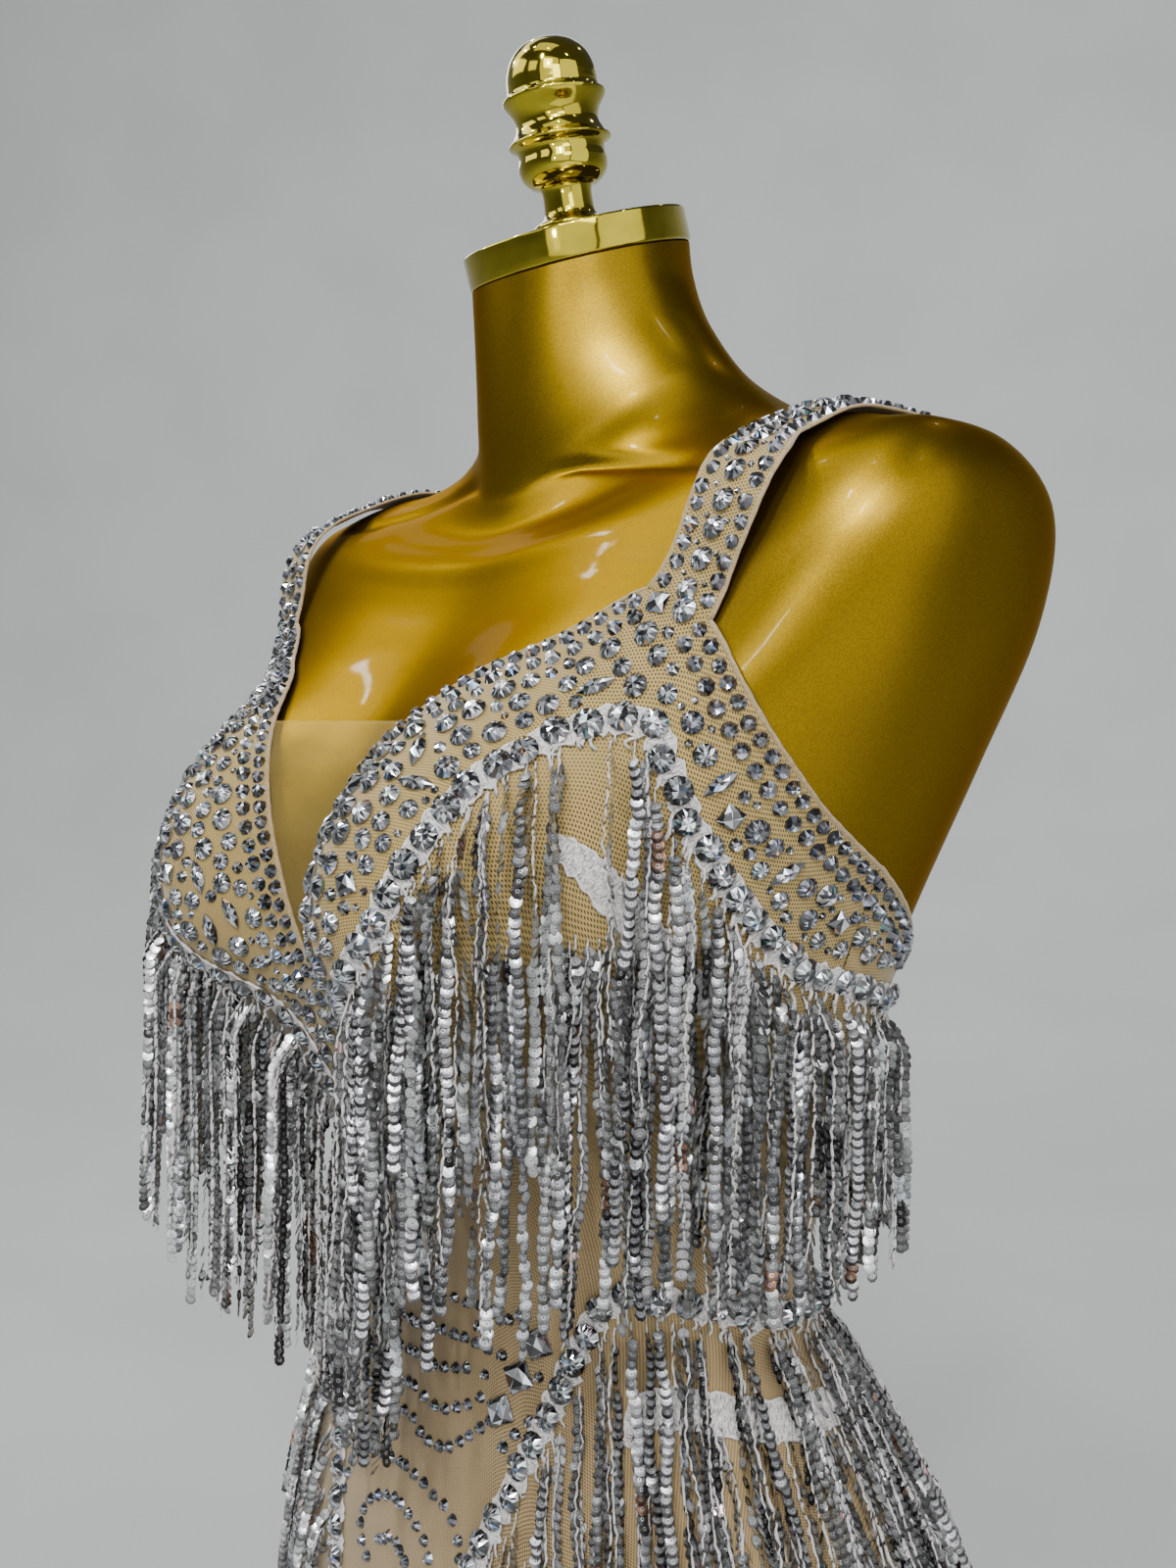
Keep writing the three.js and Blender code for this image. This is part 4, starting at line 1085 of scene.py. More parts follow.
CUTS = {
    "round": faceted(ring(12), 0.46, 0.74), "dot": small_stone(8), "bead": small_stone(6),
    "navette": faceted(navette_outline(), 0.45, 0.76), "square": faceted(square_outline(), 0.60, 0.86)}


SHARES = {  # shares of painted bright and of painted mid facets by kind of facet, for clear and for grey stones
    False: ((0.20, 0.32), (0.22, 0.30), (0.10, 0.30), (0.0, 1.0)), True: ((0.10, 0.26), (0.09, 0.30), (0.05, 0.24), (0.0, 1.0))}


def stone_tones(kinds, dark):
    """Colour of each facet: light, mid and dark ones side by side as painted reflections, with a few painted cold and
    warm glints; grey stones are darker and bluer.
    """
    n = len(kinds)
    share = np.array(SHARES[dark])[kinds]
    pick = RNG.random(n)
    if dark:
        level = np.where(pick < share[:, 0], RNG.uniform(0.5, 0.95, n),
                         np.where(pick < share.sum(1), RNG.uniform(0.13, 0.30, n), RNG.uniform(0.012, 0.06, n)))
        tint = np.ones((n, 3)) * [0.84, 0.90, 1.10]
    else:
        level = np.where(pick < share[:, 0], RNG.uniform(0.80, 1.0, n),
                         np.where(pick < share.sum(1), RNG.uniform(0.20, 0.46, n), RNG.uniform(0.015, 0.09, n)))
        tint = np.ones((n, 3)) * [0.94, 0.98, 1.03]
    # painted glints: a few facets tinted blue, cyan, orange and pink
    pick = RNG.random(n)
    tint[pick < 0.08] = (0.72, 0.86, 1.12)
    tint[(pick > 0.10) & (pick < 0.12)] = (0.22, 0.50, 1.2)
    tint[(pick > 0.125) & (pick < 0.135)] = (0.35, 1.05, 1.0)
    tint[(pick > 0.14) & (pick < 0.15)] = (1.15, 0.62, 0.30)
    tint[(pick > 0.155) & (pick < 0.185)] = (1.05, 0.82, 0.95)
    rgb = np.clip(level[:, None] * tint, 0.0, 1.0)
    return np.column_stack([rgb, np.ones(n)])


class Stones:
    """Stones waiting to be set, sorted by piece."""

    def __init__(self):
        self.rows = {}

    def add(self, piece, cut, P, N, size, turn=None, along=None, dark=False, stretch=None):
        P, N = np.atleast_2d(P), np.atleast_2d(N)
        n = len(P)
        size = np.broadcast_to(np.asarray(size, float), (n,))
        if turn is None:
            turn = RNG.uniform(0, 2 * np.pi, n)
        turn = np.broadcast_to(np.asarray(turn, float), (n,))
        if along is None:
            ref = np.tile([0.0, 0.0, 1.0], (n, 1))
        else:
            ref = np.atleast_2d(along)
        N = unit(N + RNG.normal(0, 0.035, (n, 3)))
        X = unit(ref - (ref * N).sum(-1, keepdims=True) * N)
        Y = np.cross(N, X)
        c, s = np.cos(turn)[:, None], np.sin(turn)[:, None]
        X, Y = X * c + Y * s, Y * c - X * s
        self.rows.setdefault((piece, dark), []).append((cut, P, N, X, Y, size))

    def make(self):
        obs = {}
        pieces = sorted({k[0] for k in self.rows})
        for piece in pieces:
            for dark in (False, True):
                if (piece, dark) not in self.rows:
                    continue
                heap = Heap()
                for cut, P, N, X, Y, size in self.rows[(piece, dark)]:
                    V, F, kinds = CUTS[cut]
                    h = {"round": 0.33, "dot": 0.36, "bead": 0.38, "navette": 0.20, "square": 0.27}[cut]
                    dims = np.stack([size / 2, size / 2, size * h], -1)
                    verts, faces = instances(V, F, P, X, Y, N, dims)
                    tones = stone_tones(np.concatenate([np.tile(q, len(P)) for q in kinds]), dark)
                    heap.add(verts, faces, face_tone=tones)
                name = f"stones_{piece}_{'grey' if dark else 'clear'}"
                obs[(piece, dark)] = heap.build(name, DARK if dark else CLEAR, "stone_grey" if dark else "stone_clear", shade=False)
        return obs


STONES = Stones()


def row_of_stones(piece, P, N, size, pitch, cut="dot", dark=True, jitter=0.18):
    """Stones at even pitch along a line of points."""
    _, Q, M = arc_resample(P, pitch, N)
    n = len(Q)
    size = size * (1 + RNG.normal(0, 0.03, n))
    T = unit(np.gradient(Q, axis=0))
    Q = Q + T * RNG.normal(0, jitter, (n, 1)) + unit(np.cross(T, M)) * RNG.normal(0, jitter, (n, 1))
    STONES.add(piece, cut, Q, unit(M), size, dark=dark)
    return Q, size


def inset(path_deg_z, distance, off):
    """A line at some distance inside an edge, measured on the cloth. Positive is to the right of the path as it runs."""
    P, N = at(path_deg_z[:, 0], path_deg_z[:, 1], off)
    T = unit(np.gradient(P, axis=0))
    A = np.cross(T, N)
    e = 0.4
    dx, _ = at(path_deg_z[:, 0] + e, path_deg_z[:, 1], off)
    dz, _ = at(path_deg_z[:, 0], path_deg_z[:, 1] + e, off)
    du, dv = (dx - P) / e, (dz - P) / e
    step = A * distance
    # solve step = a*du + b*dv in the tangent plane
    uu, uv_, vv = (du * du).sum(-1), (du * dv).sum(-1), (dv * dv).sum(-1)
    su, sv = (step * du).sum(-1), (step * dv).sum(-1)
    det = uu * vv - uv_ ** 2
    a, b = (su * vv - sv * uv_) / det, (sv * uu - su * uv_) / det
    deg = path_deg_z[:, 0] + a
    z = path_deg_z[:, 1] + b
    return np.column_stack([deg, z])


PLACED = {"left": [], "right": []}          # centres and radii of stones already set on each side


def note(side, P, size):
    PLACED[side].append(np.column_stack([np.atleast_2d(P), np.broadcast_to(np.asarray(size, float) / 2, (len(np.atleast_2d(P)),))]))


def edge_stones():
    for side, sign in (("left", 1), ("right", -1)):
        for kind, distances in (("neck", (3.7, 10.3)), ("arm", (3.9, 10.4)), ("back", (3.9,)), ("leg", (4.2,))):
            q = edge_path(kind)
            for k, d in enumerate(distances):
                line = inset(q, d, CLOTH_OUT)
                if kind == "neck":
                    line = line[(line[:, 0] > 0.6) & (np.arange(len(line)) < len(line) - 4)]
                if kind == "arm" and k == 1:
                    line = line[line[:, 0] < 116]
                P, N = at(line[:, 0], line[:, 1], CLOTH_OUT)
                P, N = P * [sign, 1, 1], N * [sign, 1, 1]
                size = 5.8 if k == 0 else 6.4
                Q, sizes = row_of_stones("edge", P, N, size, size + (0.75 if k == 0 else 1.2), dark=(k == 0) or kind != "neck")
                note(side, Q, sizes)
    # straps: a row of round stones between two rows of small ones
    for (a, b, N, length), side in zip(STRAP_GRIDS, ("left", "right")):
        for c0, size, pitch, dark, cut in ((0.5, 8.3, 10.0, False, "round"), (0.15, 5.9, 6.5, True, "dot"), (0.85, 5.9, 6.5, True, "dot")):
            c = c0 * (b.shape[1] - 1)
            i = min(int(c), b.shape[1] - 2)
            P = b[:, i] * (1 - (c - i)) + b[:, i + 1] * (c - i)
            M = unit(N[:, i])
            row_of_stones("strap", P[2:-2], M[2:-2], size, pitch, cut=cut, dark=dark, jitter=0.35)
        # small fillers between the round ones
        for c0 in (0.33, 0.67):
            c = c0 * (b.shape[1] - 1)
            i = min(int(c), b.shape[1] - 2)
            P = b[:, i] * (1 - (c - i)) + b[:, i + 1] * (c - i)
            row_of_stones("strap", P[4:-4], unit(N[:, i])[4:-4], 2.4, 10.0, cut="bead", dark=False, jitter=0.4)


edge_stones()


# ------------------------------------------------------------------ lace
def lace_frame(table, step, off):
    """Even stations along an applique: points, normals, tangents, across (towards its lower side), width."""
    t = np.asarray(table, float)
    k = np.arange(len(t), dtype=float)
    fine = spline(np.column_stack([k, t]), np.linspace(0, k[-1], 40 * len(t)))
    P, _ = at(fine[:, 0], fine[:, 1], off)
    s, _, q = arc_resample(P, step, fine)
    P, N = at(q[:, 0], q[:, 1], off)
    T = unit(np.gradient(P, axis=0))
    A = unit(np.cross(T, N))
    return s, P, N, T, A, q[:, 2], q


def lace_piece(name, table, sign, node_name, seed, start=None, pitch=10.8, size=9.2):
    """Fuzzy satin-stitch ground that swells round each stone, with loose stitches along its edges."""
    rng = np.random.default_rng(seed)
    heap_c, heap_g = Heap(), Heap()
    s, P, N, T, A, W, _ = lace_frame(table, 0.95, (LACE_IN + LACE_OUT) / 2)
    n = len(s)
    flip = np.array([sign, 1, 1.0])

    def rough(scale, amount):
        k = np.arange(n)
        total = np.zeros(n)
        for m in range(4):
            total += rng.normal(0, 1) * np.sin(k * 0.95 * (m + 1.3) / scale + rng.uniform(0, 6.3)) / (m + 1)
        return total * amount + rng.normal(0, amount * 0.5, n)

    if start is None:
        half_up = half_low = W / 2 * 0.96
    else:
        beat = 0.5 + 0.5 * np.cos(2 * np.pi * (s - start) / pitch)
        fade = smooth((s - start + pitch) / pitch)
        half_up = np.minimum(W / 2 * 0.98, (size / 2 - 1.7) + 1.1 * (1 - beat)) * fade + W / 2 * 0.8 * (1 - fade)
        half_low = np.minimum(W / 2 * 0.98, (size / 2 - 1.3) + 1.3 * (1 - beat)) * fade + W / 2 * 0.8 * (1 - fade)
    ragged = 1.0 if start is not None else 0.5
    up_edge = -(half_up + rough(2.6, 0.62 * ragged))
    low_edge = half_low + rough(1.5, 0.85 * ragged)
    cols = 13
    u = np.linspace(0, 1, cols)
    across = up_edge[:, None] + (low_edge - up_edge)[:, None] * u
    swell_ = 0.55 * np.sin(np.pi * u) ** 0.6
    relief = rng.normal(0, 0.13, (n, cols)) * np.sin(np.pi * u) + swell_
    base = P[:, None] + A[:, None] * across[..., None]
    low = base - N[:, None] * 0.35
    high = base + N[:, None] * (0.16 + relief)[..., None]
    uv = np.stack([np.broadcast_to(s[:, None], across.shape), across], -1) * 0.001
    v, f, uv = wall((low if sign > 0 else low[:, ::-1]) * flip, (high if sign > 0 else high[:, ::-1]) * flip, uv if sign > 0 else uv[:, ::-1])
    heap_g.add(v, f, uv=uv)
    # whipped edge stitches, thin and uneven
    t = np.linspace(0, 2 * np.pi, 5, endpoint=False)
    k2 = np.arange(0, n, 2)
    for edge in (up_edge, low_edge):
        line = P[k2] + A[k2] * (edge[k2] * 0.97 + rng.normal(0, 0.14, len(k2)))[:, None] + N[k2] * (0.20 + rng.normal(0, 0.06, len(k2)))[:, None]
        rad = 0.50 * (1 + 0.35 * np.where(np.arange(len(k2)) % 2, 1, -1) + rng.normal(0, 0.18, len(k2)))
        rad = np.maximum(rad, 0.16) * (0.5 + 0.5 * smooth(np.minimum(s, s[-1] - s)[k2] / 6))
        sec = np.stack([np.cos(t) * rad[:, None] * 1.2, np.sin(t) * rad[:, None]], -1)
        v, f = sweep(line * flip, A[k2] * flip * sign, N[k2] * flip, sec)
        heap_c.add(v, f)
    # short loose ends that hang from the lower edge
    tri = np.linspace(0, 2 * np.pi, 3, endpoint=False)
    for at_ in np.arange(3, s[-1] - 3, 6.4) if start is not None else []:
        i = int(np.clip((at_ + rng.uniform(-1.2, 1.2)) / s[-1] * (n - 1), 1, n - 2))
        reach = rng.uniform(2.6, 7.5)
        bend = rng.normal(0, 1.5)
        root = P[i] + A[i] * (low_edge[i] - 0.6) + N[i] * 0.3
        way = unit(A[i] * 0.5 + T[i] * rng.normal(0, 0.22) + np.array([0, 0, -1.1]))
        pts = np.array([root + way * reach * q + N[i] * (0.9 * np.sin(np.pi * q) + 0.2) + T[i] * (bend * np.sin(np.pi * q * 0.9) + rng.normal(0, 0.12)) for q in (0, 0.25, 0.5, 0.75, 1.0)])
        d = unit(np.gradient(pts, axis=0))
        side = unit(np.cross(d, N[i]))
        upn = np.cross(side, d)
        rad = rng.uniform(0.42, 0.78) * np.array([1.3, 1.0, 0.95, 1.0, 0.8])
        sec = np.stack([np.cos(tri)[None] * rad[:, None], np.sin(tri)[None] * rad[:, None]], -1)
        v, f = sweep(pts * flip, side * flip * sign, upn * flip, sec)
        heap_c.add(v, f)
    ground = heap_g.build(f"{name}_ground", GROUND, "lace_white")
    cord = heap_c.build(f"{name}_stitches", LACE, "lace_white")
    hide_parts(node_name)
    return [ground, cord]


LACE_OBS = []
LACE_SET = {"cup": (20.0, 9.7, 10.5), "hip": (30.0, 9.8, 10.9), "curl": (14.0, 7.2, 13.0)}    # first stone, size, pitch
for k, (side, sign) in enumerate((("left", 1), ("right", -1))):
    LACE_OBS += lace_piece(f"lace_cup_{side}", LACE_CUP, sign, f"lace_cup_{side}", 11 + k, 20.0, 10.5, 9.7)
    LACE_OBS += lace_piece(f"lace_band_{side}", LACE_BAND, sign, f"lace_band_{side}", 21 + k)
    LACE_OBS += lace_piece(f"lace_hip_{side}", LACE_HIP, sign, f"lace_hip_{side}", 31 + k, 30.0, 10.9, 9.8)
    LACE_OBS += lace_piece(f"lace_curl_{side}", LACE_CURL, sign, f"lace_curl_{side}", 41 + k)


def lace_stones():
    for side, sign in (("left", 1), ("right", -1)):
        for kind, table in (("cup", LACE_CUP), ("hip", LACE_HIP)):
            start, size, pitch = LACE_SET[kind]
            s, P, N, T, A, W, _ = lace_frame(table, 0.5, LACE_OUT + 0.25)
            spots = np.arange(start, s[-1] - 5, pitch)
            spots = spots + RNG.normal(0, 0.35, len(spots))
            i = np.clip(np.round(spots / s[-1] * (len(s) - 1)).astype(int), 0, len(s) - 1)
            Q = (P[i] + A[i] * RNG.normal(0, 0.75, (len(i), 1))) * [sign, 1, 1]
            STONES.add("lace", "round", Q, N[i] * [sign, 1, 1], size * (1 + RNG.normal(0, 0.03, len(i))))
            note(side, Q, size)


lace_stones()


def cup_field():
    """Stones strewn between the neckline, the armhole and the cup lace: large ones first, then the gaps."""
    lace_s, lace_P, _, _, _, lace_W, lace_q = lace_frame(LACE_CUP, 2.0, CLOTH_OUT)
    neck, arm = edge_path("neck"), edge_path("arm")
    for side, sign in (("left", 1), ("right", -1)):
        rng = np.random.default_rng(5 + (sign < 0))
        flip = np.array([sign, 1.0, 1.0])
        lace_line = lace_P * flip
        edge_line = at(np.concatenate([neck[:, 0], arm[:, 0]]), np.concatenate([neck[:, 1], arm[:, 1]]), CLOTH_OUT)[0] * flip
        base_line = at(np.linspace(34.5, 44, 12), np.linspace(598, 587, 12), CLOTH_OUT)[0] * flip
        placed = np.concatenate(PLACED[side])
        deg = rng.uniform(0.2, 119, 52000)
        top = np.interp(deg, np.concatenate([neck[:, 0], arm[:, 0]]), np.concatenate([neck[:, 1], arm[:, 1]]))
        low = np.interp(deg, lace_q[:, 0], lace_q[:, 1])
        low = np.where(deg < 3.4, 405, low)
        z = rng.uniform(400, 600, len(deg))
        ok = (z > low) & (z < top)
        deg, z = deg[ok], z[ok]
        P, N = at(deg, z, CLOTH_OUT)
        P, N = P * flip, N * flip

        def clear_of(line):
            return np.sqrt(((P[:, None, :] - line[None]) ** 2).sum(-1)).min(1)

        d_lace = clear_of(lace_line[::2]) - 6.4
        d_edge = clear_of(edge_line[::3]) - 3.4
        d_mid = np.abs(P[:, 0]) + 0.8
        near = np.full(len(P), 1e9)
        for a in range(0, len(placed), 24):
            part = placed[a:a + 24]
            near = np.minimum(near, (np.sqrt(((P[:, None] - part[None, :, :3]) ** 2).sum(-1)) - part[None, :, 3]).min(1))
        near = np.minimum(near, np.minimum(d_lace, np.minimum(d_edge, d_mid)) + 0.5)

        def place(cut, size, r, gap, hug):
            """Sets one stone: anywhere clear, or as close as its gap allows to those already set."""
            nonlocal placed, near
            room = near - r - gap
            can = np.flatnonzero(room > 0)
            if not len(can):
                return False
            if hug:
                can = can[room[can] < max(room[can].min() + 0.25, 0.35)]
            i = int(rng.choice(can))
            placed = np.vstack([placed, [*P[i], r]])
            near = np.minimum(near, np.sqrt(((P - P[i]) ** 2).sum(-1)) - r)
            chosen.setdefault((cut, size), []).append(i)
            return True

        chosen = {}
        for _ in range(8):
            place("navette", 13.5, 4.9, 0.9, False)
        for _ in range(6):
            place("square", 9.6, 4.5, 0.9, False)
        for _ in range(260):
            size = float(rng.choice([8.8, 7.9, 6.9], p=[0.36, 0.40, 0.24]))
            if not place("round", size, size / 2, rng.uniform(0.6, 1.4), True) and not place("round", 6.6, 3.3, 0.6, True):
                break
        for _ in range(90):
            if not place("dot", 5.0, 2.5, 0.5, True):
                break
        for _ in range(34):
            if not place("bead", 3.1, 1.55, 0.5, True):
                break
        for (cut, size), picks in chosen.items():
            c = np.array(picks)
            sizes = size * (1 + rng.normal(0, 0.03, len(c)))
            dark = rng.random(len(c)) < (0.0 if cut in ("navette", "square") else 0.14)
            for flag in (False, True):
                sel = c[dark == flag]
                if len(sel):
                    STONES.add(f"cup_{side}", cut, P[sel], N[sel], sizes[dark == flag], dark=flag)
        PLACED[side].append(placed)


cup_field()


def belly_rows():
    """Rows of grey stones that arch over the belly, with clear square stones beside them."""
    for side, sign in (("left", 1), ("right", -1)):
        arcs = [
            [(1.0, 330), (9, 332), (17, 333), (25, 331)], [(1.0, 344), (12, 347), (22, 347), (31, 344)],
            [(1.5, 294), (6, 289), (12, 292), (17, 300), (21.5, 307)], [(0.8, 276), (6, 274), (12, 270), (15, 262), (16, 250)],
            [(0.8, 262), (5, 259), (8.5, 252), (9, 242), (6, 235)], [(1.0, 248), (3.5, 244)], [(24, 300), (26.5, 305), (30, 311)],
            [(1.2, 306), (8, 303), (14, 307), (19, 314)], [(1.0, 318), (9, 318.5), (16, 322)]]
        for arc in arcs:
            k = np.arange(len(arc), dtype=float)
            q = spline(np.column_stack([k, arc]), np.linspace(0, k[-1], 60))
            P, N = at(q[:, 0], q[:, 1], CLOTH_OUT)
            row_of_stones("belly", P * [sign, 1, 1], N * [sign, 1, 1], 5.0, 6.5, dark=True, jitter=0.25)
        for deg, z in ((34.0, 339), (28.8, 325.5), (24.2, 312)):
            P, N = at(deg, z, CLOTH_OUT)
            STONES.add("belly", "square", (P * [sign, 1, 1])[None], (N * [sign, 1, 1])[None], 13.8, turn=0.5)
        for deg, z, size in ((30.6, 348, 5.2), (33, 327, 4.6), (20.5, 322, 4.6), (20, 339, 5.0), (38, 330.5, 4.4)):
            P, N = at(deg, z, CLOTH_OUT)
            STONES.add("belly", "dot", (P * [sign, 1, 1])[None], (N * [sign, 1, 1])[None], size, dark=False)


belly_rows()
STONE_OBS = STONES.make()


# ------------------------------------------------------------------ fringe
R_TH = np.radians(np.arange(0, 181, 1.5))
R_Z = np.arange(60, 622, 4.0)


def radius_table():
    T, Z = np.meshgrid(R_TH, R_Z, indexing="ij")
    phi = T.copy()
    for _ in range(9):
        p = form_point(phi, v_at(phi, Z), 1.0)
        phi += 0.85 * (T - np.arctan2(p[..., 0], -p[..., 1]))
    return np.hypot(p[..., 0], p[..., 1])


R_TABLE = radius_table()


def cloth_radius(theta, z):
    th = np.abs((theta + np.pi) % (2 * np.pi) - np.pi)
    a = np.clip(th / (R_TH[1] - R_TH[0]), 0, len(R_TH) - 1.001)
    b = np.clip((z - R_Z[0]) / 4.0, 0, len(R_Z) - 1.001)
    i, j = a.astype(int), b.astype(int)
    fa, fb = a - i, b - j
    return (R_TABLE[i, j] * (1 - fa) * (1 - fb) + R_TABLE[i + 1, j] * fa * (1 - fb)
            + R_TABLE[i, j + 1] * (1 - fa) * fb + R_TABLE[i + 1, j + 1] * fa * fb)


def disc(k):
    """Closed, slightly cupped disc: unit radius, +Z is its face."""
    a = np.linspace(0, 2 * np.pi, k, endpoint=False) + np.pi / k
    rim = np.column_stack([np.cos(a), np.sin(a), np.zeros(k)])
    V = np.concatenate([rim, [[0, 0, 0.11], [0, 0, -0.02]]])
    i = np.arange(k)
    j = (i + 1) % k
    F = np.concatenate([np.stack([i, j, np.full(k, k)], -1), np.stack([j, i, np.full(k, k + 1)], -1)])
    uv = np.concatenate([rim[:, :2], [[0, 0], [0, 0]]])
    return V, F, uv


DISC8, DISC6 = disc(8), disc(6)
SEQUIN_PITCH, SEQUIN_SIZE = 3.05, 4.5


def strand_paths(anchor, z_top, length, off, sway, rng):
    """Plumb lines from their anchors (n, 3), pushed out by whatever they meet below."""
    n = len(anchor)
    ds = 2.0
    m = int(np.ceil(length.max() / ds)) + 2
    s = np.arange(m) * ds
    th0 = np.arctan2(anchor[:, 0], -anchor[:, 1])
    r0 = np.hypot(anchor[:, 0], anchor[:, 1])
    u = s[None] / length[:, None]
    ph = rng.uniform(0, 2 * np.pi, (n, 3))
    side = (sway[:, None] * u ** 1.4 + 0.9 * np.sin(s[None] / 17 + ph[:, 0:1]) * smooth(s[None] / 25)
            + 0.45 * np.sin(s[None] / 6.1 + ph[:, 1:2]) * smooth(s[None] / 15))
    theta = th0[:, None] + side / r0[:, None]
    Z = z_top[:, None] - s[None]
    R = cloth_radius(theta, Z)
    run = np.maximum.accumulate(np.maximum(R, R[:, :1]), axis=1)
    # a thread is stiff enough to round the edge that it falls over
    for _ in range(3):
        run[:, 1:-1] = np.maximum(run[:, 1:-1], 0.25 * run[:, :-2] + 0.5 * run[:, 1:-1] + 0.25 * run[:, 2:])
    start = (r0 - R[:, 0])[:, None]
    ripple = 0.7 * np.sin(s[None] / 23 + ph[:, 2:3])
    reach = run + start + (off[:, None] - start) * smooth(s[None] / 16) + ripple * smooth(s[None] / 20)
    P = np.stack([np.sin(theta) * reach, -np.cos(theta) * reach, Z], -1)
    return P, s, theta


def tone_for(kinds, counts, rng):
    """Colour of every sequin: each strand's grey level, partly its own tone and partly painted reflection, with short
    runs of painted bright glints and a few painted pink glints; alpha holds the strength of its painted dark rim.
    Kinds: 0 faces out, 1 on edge, 2 seen from behind its thread.
    """
    out = []
    for kind, c in zip(kinds, counts):
        col = np.ones((c, 4))
        if kind == 0:
            base = rng.choice([0.20, 0.31, 0.45])
            col[:, :3] = (base * (1 + rng.normal(0, 0.24, c)))[:, None] * [0.97, 0.99, 1.02]
            col[:, 3] = np.clip(rng.choice([1.0, 0.9, 0.55]) + rng.normal(0, 0.08, c), 0, 1)
        elif kind == 1:
            base = rng.choice([0.22, 0.33, 0.46])
            col[:, :3] = (base * (1 + rng.normal(0, 0.26, c)))[:, None] * [0.97, 1.0, 1.0]
            col[:, 3] = np.clip(rng.uniform(0.1, 0.6) + rng.normal(0, 0.1, c), 0, 1)
        else:
            base = rng.choice([0.03, 0.20, 0.42], p=[0.30, 0.48, 0.22])
            col[:, :3] = (base * (1 + rng.normal(0, 0.16, c)))[:, None] * [1.0, 0.99, 1.0]
            col[:, 3] = 0.5
        # painted glints: short runs of bright sequins with a weaker dark rim
        for _ in range(rng.poisson(0.55)):
            a = rng.integers(0, max(c - 3, 1))
            b = min(a + rng.integers(1, 5), c)
            col[a:b, :3] = rng.uniform(0.45, 0.95, (b - a, 1)) * np.array([0.90, 0.96, 1.0])
            col[a:b, 3] = rng.uniform(0.0, 0.5)
        if rng.random() < 0.34:
            a = rng.integers(0, max(c - 4, 1))
            col[a:a + rng.integers(2, 7), :3] = rng.uniform(0.02, 0.05)
        # painted glints: one or two pinkish sequins
        if rng.random() < 0.13:
            a = rng.integers(0, max(c - 2, 1))
            b = a + rng.integers(1, 3)
            col[a:b, :3] = (0.90, 0.60, 0.58)
            col[a:b, 3] = 0.1
        if rng.random() < 0.12:
            a = rng.integers(0, max(c - 2, 1))
            col[a:a + rng.integers(1, 5), :3] = (0.20, 0.10, 0.06)
        out.append(np.clip(col, 0.0, 1.0))
    return np.concatenate(out)


